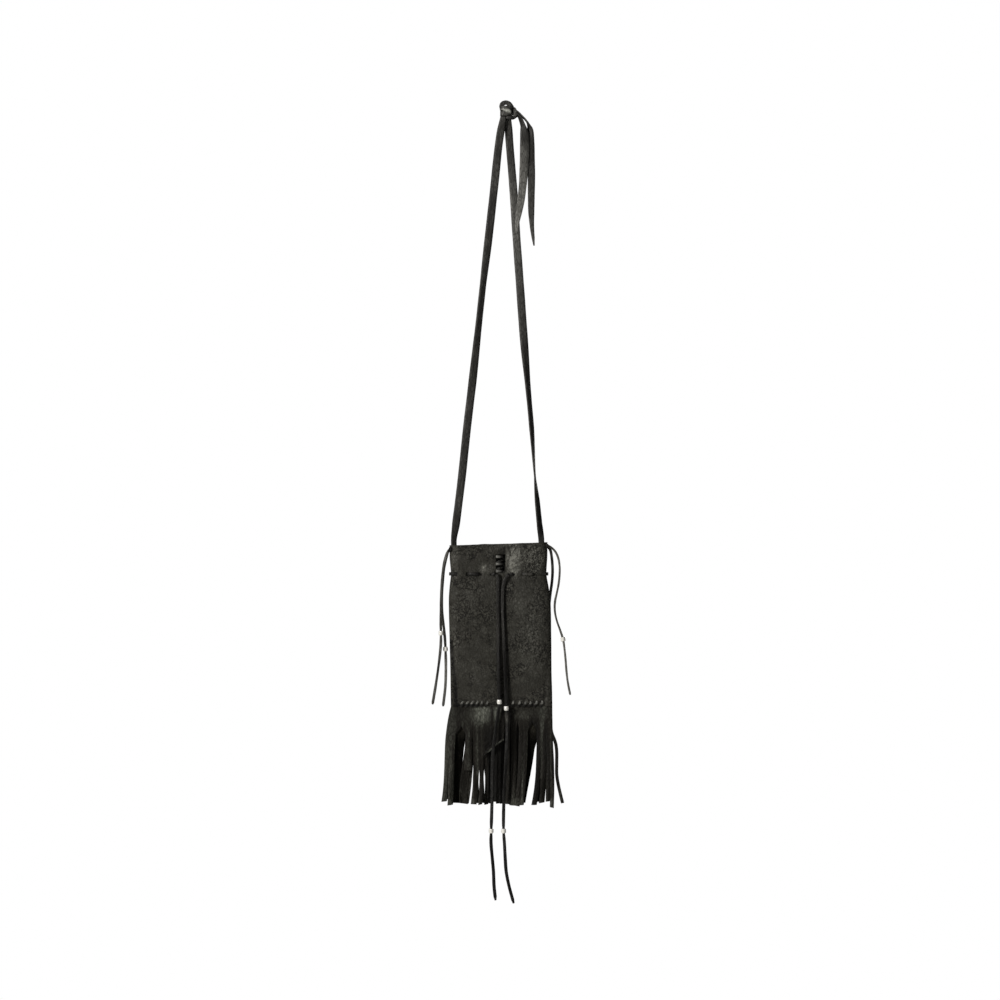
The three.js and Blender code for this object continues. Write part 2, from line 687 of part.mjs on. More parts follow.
// Neck strap
function strapLeg(strap) {
  const heights = strap.route.map((row) => row.z);
  const middle = new THREE.LinearInterpolant(heights, strap.route.map((row) => row.x), 1, [0]);
  const turns = new THREE.LinearInterpolant(
    strap.twist.map((row) => row.z),
    strap.twist.map((row) => row.turn),
    1,
    [0],
  );
  const [end, foot] = strap.route;
  const head = strap.route[strap.route.length - 1];
  const stations = Array.from({ length: STRAP_STOPS + 1 }, (_, i) => {
    const share = i / STRAP_STOPS;
    const z = THREE.MathUtils.lerp(foot.z, head.z, share);
    const fromEnd = Math.min(z - foot.z, head.z - z);
    const squeeze = THREE.MathUtils.smoothstep(fromEnd, 0, STRAP_SQUEEZE);
    const width = THREE.MathUtils.lerp(STRAP_END_WIDTH, STRAP_WIDTH, squeeze);
    return { x: middle.evaluate(z)[0], y: strap.headY * share, z, turn: turns.evaluate(z)[0], width };
  });
  stations.unshift({ ...end, y: 0, turn: turns.evaluate(end.z)[0], width: STRAP_END_WIDTH });
  const stemLength = Math.abs(strap.knot[0] - end.x);
  const stem = new THREE.CylinderGeometry(STEM_RADIUS, STEM_RADIUS, stemLength, ROUND_SIDES);
  stem.rotateZ(Math.PI / 2);
  stem.translate((strap.knot[0] + end.x) / 2, strap.knot[1], strap.knot[2]);
  const knot = new THREE.SphereGeometry(CORNER_KNOT.radius, CORNER_KNOT.sides, CORNER_KNOT.rings);
  knot.scale(1, CORNER_KNOT.deeper, 1);
  knot.translate(...strap.knot);
  return geometryOf(joined([ribbon(stations, STRAP_THICKNESS), stem, knot]));
}

function strapKnot() {
  const rim = (BAND.outerRadius - BAND.innerRadius) / 2;
  const profile = [
    [BAND.innerRadius, -BAND.height / 2],
    [BAND.innerRadius + rim, -BAND.height / 2],
    [BAND.outerRadius, -BAND.height / 2 + rim],
    [BAND.outerRadius, BAND.height / 2 - rim],
    [BAND.innerRadius + rim, BAND.height / 2],
    [BAND.innerRadius, BAND.height / 2],
    [BAND.innerRadius, -BAND.height / 2],
  ];
  const band = new THREE.LatheGeometry(profile.map(([r, h]) => new THREE.Vector2(r, h)), BAND.sides);
  band.rotateX(Math.PI / 2);
  band.translate(0, 0, BAND.z);
  const arch = Array.from({ length: ARCH.bends + 1 }, (_, i) => {
    const angle = Math.PI * (1 - i / ARCH.bends);
    const x = ARCH.radius * Math.cos(angle) * ARCH.wider;
    return { x, y: 0, z: ARCH.centreZ + ARCH.radius * Math.sin(angle), turn: 90, width: ARCH.width };
  });
  arch.unshift({ ...arch[0], x: -BAND.innerRadius - rim, z: ARCH.footZ });
  arch.push({ ...arch[ARCH.bends + 1], x: BAND.innerRadius + rim, z: ARCH.footZ });
  const lump = new THREE.SphereGeometry(LUMP.radius, LUMP.sides, LUMP.rings);
  lump.translate(...LUMP.place);
  return geometryOf(joined([band, ribbon(arch, ARCH.thickness), lump]));
}

// Beads
function bead() {
  const { radius, bore, halfLength, chamfer } = BEAD;
  const profile = [
    [bore, -halfLength],
    [radius - chamfer, -halfLength],
    [radius, -halfLength + chamfer],
    [radius, halfLength - chamfer],
    [radius - chamfer, halfLength],
    [bore, halfLength],
    [bore, -halfLength],
  ];
  return new THREE.LatheGeometry(profile.map(([r, h]) => new THREE.Vector2(r, h)), BEAD.sides);
}

const HALVINGS = 40; // steps of the search for a height along a lace

// Where a falling lace passes a height, and its direction there
function atHeight(curve, height) {
  let high = 0;
  let low = 1;
  for (let halving = 0; halving < HALVINGS; halving++) {
    const middle = (high + low) / 2;
    if (curve.getPointAt(middle).z > height) {
      high = middle;
    } else {
      low = middle;
    }
  }
  return { place: curve.getPointAt(high), along: curve.getTangentAt(high) };
}

// Fringe
// Smooth curve through four values at even distances, at a share of its length
function throughFour([first, second, third, fourth], share) {
  const at = 3 * share;
  return (
    (first * (at - 1) * (at - 2) * (at - 3)) / -6 +
    (second * at * (at - 2) * (at - 3)) / 2 +
    (third * at * (at - 1) * (at - 3)) / -2 +
    (fourth * at * (at - 1) * (at - 2)) / 6
  );
}

function strip(row, side, seam) {
  const layer = side * (FRINGE.between + FRINGE.thickness) / 2;
  const start = row.root - STRIP_OVERLAP;
  const stations = Array.from({ length: STRIP_SECTIONS + 1 }, (_, i) => {
    const down = THREE.MathUtils.lerp(start, row.reach, i / STRIP_SECTIONS);
    const free = Math.max(down - row.root, 0) / (row.reach - row.root);
    const x = throughFour(row.across, down / row.reach);
    const y = layer + side * row.out * free ** STRIP_FLARE;
    return { x, y, z: seam - down, turn: 0, width: row.width };
  });
  return ribbon(stations, STRIP_THICKNESS);
}

function loneStrip(seam) {
  const y = -(FRINGE.between + FRINGE.thickness) / 2;
  const stations = LONE_STRIP.map(({ x, down }) => {
    return { x, y, z: seam - down, turn: 0, width: LONE_STRIP_WIDTH };
  });
  return ribbon(stations, STRIP_THICKNESS);
}

function fringe(side, panelOutline, strips) {
  const seam = RIM_Z - POUCH_HEIGHT - FRINGE.clear;
  const outline = new THREE.Shape(panelOutline.map(([x, down]) => new THREE.Vector2(x, -down)));
  const panel = new THREE.ExtrudeGeometry(outline, {
    depth: FRINGE.thickness,
    bevelEnabled: false,
  });
  panel.rotateX(Math.PI / 2);
  const middle = side * (FRINGE.between + FRINGE.thickness) / 2;
  panel.translate(0, middle + FRINGE.thickness / 2, seam);
  const headHeight = FRINGE.headDepth + FRINGE.headOverlap;
  const head = new THREE.BoxGeometry(FRINGE.headWidth, FRINGE.thickness, headHeight);
  head.translate(sectionAt(POUCH_HEIGHT).centreX, middle, seam + FRINGE.headDepth - headHeight / 2);
  const hanging = strips.map((row) => strip(row, side, seam));
  if (side < 0) {
    hanging.push(loneStrip(seam));
  }
  return geometryOf(joined([panel, head, ...hanging]));
}

// Assembly
const pouch = new THREE.Group();

function place(name, geometry, finish) {
  const mesh = new THREE.Mesh(geometry, finish);
  mesh.name = name;
  pouch.add(mesh);
  return mesh;
}

place("pouch_body", pouchBody(), finishes.body);
place("fringe_front", fringe(-1, FRONT_PANEL, FRONT_STRIPS), finishes.fringe);
place("fringe_back", fringe(1, BACK_PANEL, BACK_STRIPS), finishes.fringe);
place("drawstring", tube(drawstring.curve, LACE_RADIUS, DRAWSTRING_STEP), finishes.lace);
place("collar_lacing", tube(collarLacing, COIL_LACE_RADIUS, COLLAR_STEP), finishes.lace);
for (const [name, strap] of Object.entries(STRAPS)) {
  place(name, strapLeg(strap), finishes.strap);
}
place("strap_knot", strapKnot(), finishes.strap);
for (const [name, stations] of Object.entries(STRAP_TAILS)) {
  place(name, ribbon(stations, STRAP_TAIL_THICKNESS), finishes.strap);
}
for (const [name, lace] of Object.entries(LACES)) {
  const curve = new THREE.CatmullRomCurve3(lace.points.map((point) => new THREE.Vector3(...point)));
  place(name, tube(curve, LACE_RADIUS, STEP_PER_DIAMETER * 2 * LACE_RADIUS), finishes.lace);
  for (const [beadName, height] of Object.entries(lace.beads)) {
    const { place: middle, along } = atHeight(curve, height);
    const mesh = place(beadName, bead(), finishes.bead);
    mesh.position.copy(middle);
    mesh.quaternion.setFromUnitVectors(new THREE.Vector3(0, 1, 0), along);
  }
}

export default pouch;
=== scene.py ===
import math
import random

import bmesh
import bpy
from mathutils import Matrix, Vector, noise


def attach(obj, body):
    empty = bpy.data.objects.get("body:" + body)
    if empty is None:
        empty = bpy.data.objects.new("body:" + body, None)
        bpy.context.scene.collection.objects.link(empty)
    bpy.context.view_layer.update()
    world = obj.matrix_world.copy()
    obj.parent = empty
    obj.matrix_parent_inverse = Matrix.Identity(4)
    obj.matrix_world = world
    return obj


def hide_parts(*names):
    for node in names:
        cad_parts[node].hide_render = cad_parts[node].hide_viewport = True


bl_info = {
    "name": "Fringed Neck Pouch",
    "version": (1, 0, 0),
    "blender": (4, 5, 0),
    "location": "View3D > Sidebar > Neck Pouch",
    "description": "Builds a fringed leather neck pouch with laces, beads and a knotted strap",
    "category": "Add Mesh",
}

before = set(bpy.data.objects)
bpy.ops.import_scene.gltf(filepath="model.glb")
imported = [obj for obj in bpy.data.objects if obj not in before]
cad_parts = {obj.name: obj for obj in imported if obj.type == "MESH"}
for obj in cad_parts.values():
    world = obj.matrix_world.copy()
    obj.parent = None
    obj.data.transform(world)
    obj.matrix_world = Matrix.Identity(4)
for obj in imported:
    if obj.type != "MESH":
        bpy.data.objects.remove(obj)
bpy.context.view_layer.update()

MM = 0.001
FRONT = Vector((0, -1, 0))

# Camera: straight on, one photograph pixel is 1.15 mm at the pouch
CAMERA_PLACE = (-0.0069, -3.194, -0.4531)
CAMERA_LENS = 100
CAMERA_SENSOR = 36

# Lamps: name, place, size across, the stage's power that it takes and how many times that power
LAMPS = [
    ("key_light", (-2.1, -1.75, 0.4), 0.5, "key_power", 1),
    ("fill_light", (1.0, -2.8, 0.2), 1.4, "fill_power", 1),
    ("back_light", (0.4, 2.4, 0.0), 1.6, "fill_power", 2),
]
LAMP_TARGET = Vector((0, 0, -0.56))
LAMP_COLOUR = (1.0, 0.97, 0.91)

# Pouch wall, in millimetres: drop from the rim, middle, half width, half depth, squareness
RIM_Z = -505
POUCH_HEIGHT = 185
DRAW_DROP = 33
POUCH_SECTIONS = [
    (0, -8.6, 56.1, 9.0, 3.2),
    (15, -8.6, 56.1, 9.6, 3.2),
    (33, -8.4, 55, 8.3, 3.0),
    (47, -8, 56.8, 9.8, 2.8),
    (63, -7.3, 58.5, 10.8, 2.6),
    (109, -6.4, 58.5, 11.0, 2.6),
    (145, -5.8, 58.1, 8.6, 2.8),
    (170, -5.3, 58.3, 5.4, 3.4),
    (185, -5.1, 58.3, 3.9, 4.0),
]
RIM_TILT, RIM_RISE = 1.8, 1.0
RUFFLE_COUNT, RUFFLE_DEPTH, RUFFLE_FADES = 7, 0.7, 30
GATHER_COUNT, GATHER_DEPTH, GATHER_REACH = 10, 0.8, 11
WALL_COLUMNS = 176
# Rows of the wall's mesh: first drop, last drop and step
WALL_BANDS = [(0, 46, 1.25), (46, 166, 2.2), (166, 178, 1.5), (178, 185, 0.7)]
# Creases fade out towards the pouch's sides between these sines of the wall's angle
SIDE_FADE = (0.05, 0.35)

# Drawstring slits along the wall from the middle of the front or of the back
RIGHT_SLITS = [17, 28, 40, 51]
LEFT_SLITS = [8, 22, 36, 49]
BACK_SLITS = [50, 38, 25, 11]
SLIT_RUN = 3.6
SLIT_HOLE = (1.9, 1.3)
WEAVE_STOPS, WEAVE_STEP, WEAVE_CLEAR, WEAVE_ENDS = 150, 1.8, 0.5, 4.5

# Collar lacing: drops of its passes on the front, and each turn's places across, falls and stand-outs
COLLAR_RUNGS = [13.7, 21.7, 29.8]
COLLAR_TURN = [
    (-12.4, -0.3, -3.2), (-11.3, 0.0, -1.2), (-10.2, 0.0, 0.5), (-7.4, 0.1, 0.8), (-5.0, 0.1, 0.5),
    (-3.4, 0.3, -0.9), (-1.6, 0.8, -3.0), (-0.8, 2.0, -4.6), (-5.0, 4.2, -5.4), (-10.6, 6.6, -5.0),
]
COLLAR_MIDDLE, COLLAR_INSIDE = -6.6, -2.4
COLLAR_WIDTH, COLLAR_THICK, COLLAR_STEP = 2.9, 1.5, 0.9

# Opening that the collar lacing closes: left, right, top and bottom
COLLAR_HOLE = (-11.4, -1.4, 10.2, 29.4)

# Creases of the front wall, in millimetres: place across, drop, height, spread across, spread down
LUMPS = [
    (10.5, 18, 1.7, 8.0, 13.0),
    (6.0, 31, 0.8, 3.5, 3.0),
    (-24, 27, 0.9, 4.0, 4.5),
    (-18, 31, 0.8, 3.0, 3.5),
    (-29, 30, -0.8, 3.0, 4.0),
    (-35, 33, 0.6, 3.5, 3.0),
    (-40, 16, -0.7, 8.0, 14.0),
    (30, 14, -0.6, 9.0, 10.0),
    (-15, 12, 0.5, 4.0, 10.0),
    (-38, 62, 0.9, 14.0, 12.0),
    (20, 72, 0.7, 13.0, 18.0),
    (-30, 110, -0.7, 16.0, 14.0),
    (24, 128, 0.6, 14.0, 14.0),
    (-36, 150, 0.6, 12.0, 10.0),
]
# Painted light: patches of the front wall painted pale where light catches it: place across, drop, amount,
# spread across, spread down
PAINTED_LIGHT_PATCHES = [
    (8.0, 15, 1.7, 7.5, 13.0), (9.5, 30.5, 1.8, 3.4, 2.4), (-22, 28, 0.35, 7.0, 6.0),
    (-26, 26, 0.9, 2.6, 3.0), (-58, 18, 0.3, 4.0, 13.0), (-8, 3, 0.16, 12.0, 5.0),
    (30, 14, 0.52, 16.0, 14.0), (-40, 62, 0.1, 12.0, 12.0), (16, 62, 0.18, 14.0, 14.0),
    (28, 110, 0.26, 16.0, 40.0), (38, 60, 0.14, 10.0, 24.0), (-34, 150, 0.1, 14.0, 14.0),
    (-60, 112, 0.14, 3.5, 16.0),
]
# Painted shade: dark lines of the front wall, the shadows beside the drawstring tails, under the edges of the
# side bands and the seam, by the collar's slit and in its cracks: place and drop of both ends, amount, half
# width
PAINTED_SHADE_LINES = [
    ((-63.4, 109), (-61.4, 132), 0.95, 1.6), ((-61.4, 132), (-58.4, 156), 0.95, 1.6),
    ((-58.4, 156), (-57.0, 184), 1.0, 2.0), ((-56, 184), (-32, 183.6), 1.0, 2.0),
    ((-32, 183.2), (-11, 182.6), 0.5, 0.9), ((6, 183.8), (34, 183.4), 0.8, 1.2),
    ((-2.2, 3), (-2.0, 31), 0.9, 1.1), ((-6, 7), (-3, 10), 0.5, 2.4),
    ((2.6, 1.5), (5.8, 13.5), 0.6, 0.9), ((11.5, 2.5), (7.8, 8.5), 0.55, 0.9),
    ((-1.2, 46), (-0.8, 92), 0.75, 1.2), ((-0.8, 92), (1.2, 122), 0.75, 1.2),
    ((1.2, 122), (3.0, 152), 0.75, 1.2), ((3.0, 152), (3.0, 182), 0.8, 1.3),
    ((-6.8, 46), (-6.8, 100), 0.7, 1.0), ((-6.8, 100), (-5.7, 152), 0.75, 1.2),
    ((-5.7, 152), (-5.4, 180), 0.8, 1.2),
]
# Grooves: place and drop of both ends, depth, half width
GROOVES = [
    ((1.5, 30), (8.0, 4), 0.7, 0.9),
    ((5.0, 31), (13.5, 7), 0.6, 0.9),
    ((9.5, 31), (18.5, 13), 0.5, 0.8),
    ((-20, 33), (-26, 21), 0.6, 0.9),
    ((-30, 34), (-34, 22), 0.5, 0.9),
    ((-12.5, 33), (-16, 20), 0.4, 0.9),
    ((26, 33), (30, 22), 0.4, 0.8),
    ((-47, 34), (-50, 14), 0.5, 1.1),
    ((-57, 36), (-56.5, 6), 0.7, 1.2),
    ((-53, 34), (-53, 9), 0.5, 1.1),
    ((40, 35), (38, 14), 0.5, 1.1),
    ((-14, 37), (-24, 58), 0.4, 1.4),
    ((12, 37), (18, 60), 0.4, 1.4),
    ((-36, 38), (-42, 56), 0.4, 1.4),
]

# Bands folded round the lower corners: rows of drop and place of their inner edges, left and right
SIDE_BANDS = [[(109, -64.4), (185, -56.4)], [(109, 51.6), (185, 45)]]
SIDE_BAND_RISE, SIDE_BAND_EDGE = 0.9, 0.7
SIDE_BAND_STARTS = (104, 128)

# Neck strap legs: the places (x, z) that each passes, its y at the top knot, its corner knot, and its turn
# at each height
STRAP_LEGS = {
    "strap_left": {
        "side": -1,
        "head_y": -1.6,
        "knot": (-64.6, -4, -509.6),
        "route": [
            (-57.4, -525), (-60, -501), (-57.5, -481), (-50.7, -426), (-44.9, -371), (-38.4, -316),
            (-32.3, -260.5), (-26.3, -205), (-19.8, -150), (-13.7, -95), (-7.7, -40), (-2.1, -8),
        ],
        "turns": [
            (-525, 10), (-501, 20), (-481, 15), (-454, 0), (-330, 5), (-288, 22), (-260, 38), (-233, 42),
            (-205, 41), (-178, 25), (-150, 8), (-110, 0), (-8, 0),
        ],
    },
    "strap_right": {
        "side": 1,
        "head_y": 1.6,
        "knot": (47.8, -3.4, -505.8),
        "route": [
            (39.6, -525), (40.7, -501), (38.6, -481), (36, -454), (33.3, -426), (29.6, -371), (24.7, -316),
            (20, -260.5), (16, -205), (12, -150), (8.4, -95), (3.9, -40), (2, -8),
        ],
        "turns": [
            (-525, 0), (-501, 0), (-494, 25), (-481, 52), (-454, 58), (-426, 88), (-398, 74), (-371, 60),
            (-343, 60), (-316, 50), (-288, 25), (-265, 8), (-200, 0), (-8, 0),
        ],
    },
}
STRAP_SQUEEZE = 24
STRAP_END_SHARE = 0.72
STRAP_STEP = 3.0

# Corner knots: a coil of lace along x, in millimetres
COIL_TURNS, COIL_STOPS, COIL_STEP = 1.8, 36, 0.8
COIL_REACH, COIL_RADIUS, COIL_SAG = 1.7, 1.5, 0.9
COIL_WIDTH, COIL_THICK = 2.6, 1.7

# Free ends of the strap: x, y, z, turn and width
STRAP_TAILS = {
    "strap_tail_outer": [
        (9.6, -1.5, -4.6, 90, 6), (13.2, -1.8, -6.8, 86, 7), (17.8, -2.2, -11.4, 84, 7.4),
        (24.0, -2.6, -18.4, 84, 7.6), (26.0, -3.2, -23, 70, 8), (27.6, -3.8, -28, 30, 8),
        (28.4, -4, -37, 6, 8), (28.9, -4, -52, 0, 8.2), (29.2, -4.1, -80, 0, 8.6), (29, -4, -106, 0, 8),
        (29.1, -3.4, -124, 2, 7), (29.9, -3.3, -140, 4, 5), (31.2, -3.2, -152, 6, 3.6),
        (32.2, -3.2, -161, 6, 1.5),
    ],
    "strap_tail_inner": [
        (9.6, -1.5, -7.4, 90, 6), (12.8, -2.4, -10, 80, 6.4), (16.5, -3.8, -15.2, 54, 6.8),
        (19.3, -4.6, -23, 46, 7.4), (20.4, -4.9, -28, 16, 8.6), (21.1, -5.1, -33, 3, 10.2),
        (21.3, -5.2, -50, 0, 10.8), (20.4, -5.3, -75, 0, 10), (19.1, -5.4, -93, 0, 9.0),
        (17, -5.4, -110, 6, 8.4),
        (14.6, -5.4, -124, 10, 7.2), (12.6, -5.2, -136, 14, 5), (11.8, -5, -147, 16, 2.6),
    ],
}

# Painted light along each free end, and painted shade just below the knot where it falls below nothing:
# height and amount
STRAP_TAIL_LIGHT_AND_SHADE = {
    "strap_tail_outer": [
        (-120, 0.05), (-90, 0.04), (-65, 0.0), (-50, -0.15), (-26, -0.3), (-19, 0.1), (-5, 0.16),
    ],
    "strap_tail_inner": [
        (-130, 0.32), (-90, 0.25), (-50, 0.17), (-38, -0.05), (-28, -0.4), (-15, -0.4), (-10, 0.0),
    ],
}
STRAP_TIP_THICK = 1.2

# Painted light along each leg, for the sheen that it catches: height and amount
STRAP_LIGHT = {
    "strap_left": [(-320, 0.0), (-280, 0.07), (-235, 0.14), (-200, 0.13), (-165, 0.03), (-140, 0.0)],
    "strap_right": [
        (-440, 0.0), (-426, 0.05), (-360, 0.07), (-320, 0.02), (-230, 0.06), (-190, 0.12), (-150, 0.18),
        (-115, 0.24), (-90, 0.13), (-60, 0.0),
    ],
}

# Free laces: the heights of each one's beads, how it turns, where it comes out of its corner knot, and the
# points that it hangs through
LACES = {
    "side_lace_left_outer": {
        "beads": {"bead_left_outer": -606},
        "turn": (20, 35, 1.6),
        "tie": [(-65.2, -3.0, -510.6)],
        "points": [
            (-67, -1.7, -513), (-69, -1.8, -518), (-71.7, -1.9, -529), (-73.5, -2, -545),
            (-74.3, -2.1, -562.5), (-74.7, -2.2, -579.5), (-74.9, -2.2, -597), (-74.7, -2.2, -608),
            (-75, -2.2, -620), (-76.3, -2.2, -634), (-78.5, -2.2, -651), (-81.3, -2.1, -669.5),
            (-84.4, -2, -688),
        ],
    },
    "side_lace_left_inner": {
        "beads": {"bead_left_inner": -624.5},
        "turn": (-10, 40, 1.3),
        "tie": [(-65.2, 0.2, -510.6)],
        "points": [
            (-66.9, 1.6, -513), (-68.6, 1.8, -519), (-71.1, 1.9, -530), (-72.9, 2, -547),
            (-73.8, 2.1, -564.5), (-73.6, 2.2, -580), (-71.8, 2.2, -597), (-70.3, 2.2, -612),
            (-69.6, 2.2, -625), (-69.2, 2.2, -638), (-69.2, 2.2, -651), (-69.8, 2.1, -668),
            (-72.4, 2, -690.5),
        ],
    },
    "side_lace_right_outer": {
        "beads": {"bead_right_outer": -613},
        "turn": (25, 40, 1.8),
        "slim": 0.75,
        "tie": [(48.4, -3.0, -505.6), (51.2, -2.0, -507.2)],
        "points": [
            (54, -1, -509.4), (57.2, -1.2, -513.2), (60.1, -1.4, -520), (61.6, -1.5, -529),
            (61.6, -1.6, -538), (60.6, -1.7, -548.5), (58.6, -1.8, -559), (56.6, -1.9, -568),
            (55.9, -2, -575.5), (56.5, -2, -583.5), (58.6, -2, -592.5), (62.3, -2, -603),
            (65.6, -2, -613.5), (67.3, -2, -625), (68.5, -2, -637), (69.4, -2, -649), (71.1, -1.9, -663),
            (73.8, -1.8, -677),
        ],
    },
    "side_lace_right_inner": {
        "beads": {"bead_right_inner": -612},
        "turn": (0, 30, 1.2),
        "tie": [(48.2, -1.4, -506.8), (49.9, 0.6, -508.8)],
        "points": [
            (51.2, 1.6, -511.2), (52.2, 1.9, -516), (53.2, 2.4, -525), (53.6, 3.2, -536),
            (52.9, 5, -547.5), (51.4, 7, -559), (49.9, 8.4, -573), (48.7, 9, -591), (47.9, 9.1, -614),
            (47.3, 9, -637), (46.7, 8.8, -672),
        ],
    },
    "drawstring_tail_left": {
        "beads": {"bead_front_left": -684.6, "bead_low_left": -832.5},
        "turn": (0, 24, 2.4),
        "tie": [],
        "points": [
            (-11.2, -9.9, -538.1), (-10.2, -10.4, -539.6), (-9.4, -10.9, -543.8), (-9.1, -11.4, -551),
            (-9.1, -12.3, -568), (-9.1, -12.9, -600), (-8.9, -12, -640), (-8.3, -9.2, -670),
            (-7.6, -7.9, -685), (-9, -7.6, -697), (-11.4, -7.8, -713), (-14.2, -8.8, -736),
            (-15.9, -9.3, -764), (-16.1, -9.4, -798), (-17, -9.4, -832), (-17.2, -9.4, -846),
            (-15.9, -9.4, -862), (-14.4, -9.4, -879), (-13.7, -9.4, -896), (-12, -9.4, -912),
        ],
    },
    "drawstring_tail_right": {
        "beads": {"bead_front_right": -692, "bead_low_right": -832.5},
        "turn": (0, 28, 3.1),
        "tie": [],
        "points": [
            (3.8, -9.9, -538.1), (1.2, -10.4, -540.3), (-1.7, -10.9, -545.6), (-3.3, -11.4, -552.5),
            (-4, -12.3, -568), (-3.7, -12.8, -588), (-2.7, -13, -610), (-1.4, -12.2, -638),
            (-0.3, -9, -672), (0.4, -7.7, -692), (1.1, -7.7, -708), (0.9, -8.4, -728),
            (-0.2, -9.1, -752), (-1.8, -9.4, -780), (-2.7, -9.4, -806), (-2.8, -9.4, -832),
            (-1.8, -9.4, -847), (-0.9, -9.4, -864), (0.2, -9.4, -879), (3.3, -9.4, -895),
            (8.8, -9.4, -915.5),
        ],
    },
}
LACE_STEP = 2.2
# Width of a lace inside a bead, and how far along the lace it narrows to that
BEAD_BORE, BEAD_PINCH = 2.5, 5
# Half of a bead's section, from its bore outwards: shares of its radius and of half its length
BEAD_SECTION = [(0.6, 0.78), (0.67, 0.95), (0.8, 1.0), (0.93, 0.82), (1.0, 0.4)]
BEAD_STEPS = 28

# Painted light along each side lace, also where the outer lace shades the left inner one: height and amount
SIDE_LACE_LIGHT = {
    "side_lace_left_outer": [
        (-677, 0.2), (-666, 0.18), (-654, 0.02), (-643, 0.05), (-631, 0.2), (-614, 0.32), (-597, 0.2),
        (-568, 0.12), (-551, 0.22), (-517, 0.28),
    ],
    "side_lace_left_inner": [
        (-677, 0.27), (-666, 0.38), (-650, 0.55), (-631, 0.65), (-614, 0.7), (-590, 0.55), (-551, 0.3),
        (-517, 0.35),
    ],
    "side_lace_right_outer": [
        (-677, 0.6), (-666, 0.4), (-646, 0.6), (-625, 0.55), (-605, 0.45), (-597, 0.25), (-568, 0.22),
        (-551, 0.35), (-517, 0.45),
    ],
    "side_lace_right_inner": [(-560, 0.0), (-517, 0.15)],
}

# Fringe: each strip's middle at the seam, at a third and two thirds of its length and at its tip, its width,
# the length down to where its cut starts and to its tip, and how far its tip stands out
SEAM_Z = -690.4
LAYER_Y = 1.05
FRONT_STRIPS = [
    ((-60.4, -66.4, -67.8, -71.2), 5.8, 15, 109, 2.5),
    ((-55.5, -61.5, -63, -64.3), 6.4, 22, 113, 3.6),
    ((-41, -41.5, -43, -43.6), 8.6, 22, 73.5, 2.2),
    ((-35, -34.6, -34.6, -37), 6.4, 72, 112.2, 2.6),
    ((-28.8, -28.6, -28.1, -29.6), 4.2, 72, 112.6, 2),
    ((1.4, 1.4, 1.6, 1.6), 5, 17, 112, 2.2),
    ((9, 9.2, 9, 7), 6, 17, 113.5, 2.6),
    ((17.6, 17.4, 16.2, 12.6), 5.2, 17, 114, 4.4),
    ((22.6, 22.4, 21, 17.6), 5, 17, 113, 5),
    ((38.2, 37.9, 37, 32.2), 5.6, 43, 113, 2.8),
    ((43.2, 43.2, 43.1, 40.8), 6.4, 43, 110.5, 2.2),
    ((48.3, 48.5, 48.7, 48.2), 5, 43, 109, 1.6),
    ((51, 51.8, 53, 52.8), 4.4, 43, 116, 2.4),
]
BACK_STRIPS = [
    ((-60.2, -65.6, -66.8, -69.6), 5.6, 13, 107, 2.4),
    ((-53.1, -52.8, -56.2, -56.0), 11.0, 40, 111.4, 3.0),
    ((-41.5, -41.3, -46.4, -48.8), 9.8, 40, 112, 1.4),
    ((-36.5, -38, -40.9, -45.4), 4.8, 40, 112, 1.8),
    ((-34.4, -34.4, -34.5, -32), 4.6, 72, 111.6, 1.6),
    ((-28.6, -28.4, -27.9, -25.6), 3.2, 72, 111.6, 2),
    ((-22.6, -22.2, -21.7, -22.6), 4.4, 72, 113, 1.4),
    ((-17.4, -17.5, -17.6, -17.6), 4.8, 13, 112, 2.4),
    ((-13.2, -13.3, -13.4, -13.4), 4.8, 13, 110, 1.8),
    ((-8.8, -8.8, -9, -9), 5, 13, 112, 2),
    ((-4.2, -4.2, -4.3, -4.4), 5, 13, 112, 1.4),
    ((0.4, 0.2, 0, -0.4), 4.8, 13, 111, 2.2),
    ((5.2, 5.2, 5.2, 5), 5.2, 13, 112, 1.8),
    ((10.6, 10.6, 10.4, 9.8), 6.4, 13, 112, 2.4),
    ((16.6, 16.8, 16.2, 13.2), 6.2, 13, 111, 1.6),
    ((24, 25.4, 22, 15.6), 6.8, 40, 111, 2.2),
    ((33, 31.5, 26.2, 19.5), 5.4, 40, 111, 1.8),
    ((39.8, 39.4, 38.6, 35.6), 5.4, 40, 110, 1.8),
    ((44.6, 44.6, 44.2, 41.6), 5.2, 40, 110, 2.4),
    ((49.2, 49.2, 48.9, 48.6), 5.6, 40, 109, 1.6),
    ((51.6, 52.2, 52.8, 52.6), 3.4, 40, 113, 2),
]
# Back strips that catch the light; the others hang in the shade of the front ones and take the
# near-black flesh side as painted shade
LIT_STRIPS = (0, 2, 3, 4, 5, 6, 7, 8, 9, 10, 11, 12, 13)
# The strip at the right that has swung away: places across and lengths down
LONE_WIDTH = 3.8
LONE_STRIP = [
    (50.6, 18), (52.8, 31), (56, 39), (57.4, 44), (58.3, 53), (58.3, 64), (58.3, 78), (59.7, 88),
    (62.1, 99), (65, 111),
]
PANEL_STEP = 2.5
PANEL_REACH = 75
TAIL_ROWS = 18
STRIP_COLUMNS = 4
LONE_STEP = 2.5
# Strips further apart than this share no cut; a strip's twist in degrees, cup and slant are drawn at random
STRIP_GAP = 11
STRIP_TWIST, STRIP_CUP, STRIP_SLANT = (10, 26), (0.4, 1.1), 1.2
FRONT_SEED, BACK_SEED, STITCH_SEED = 11, 23, 5
TONGUE = {"strip": 4, "right": -1.0, "left_reach": 58, "right_reach": 40, "curl": 5.5, "curl_radius": 3.2,
          "bulge": 2.6, "bulge_down": 15}
TONGUE_COLUMNS, TONGUE_LOW_ROWS = 12, 14

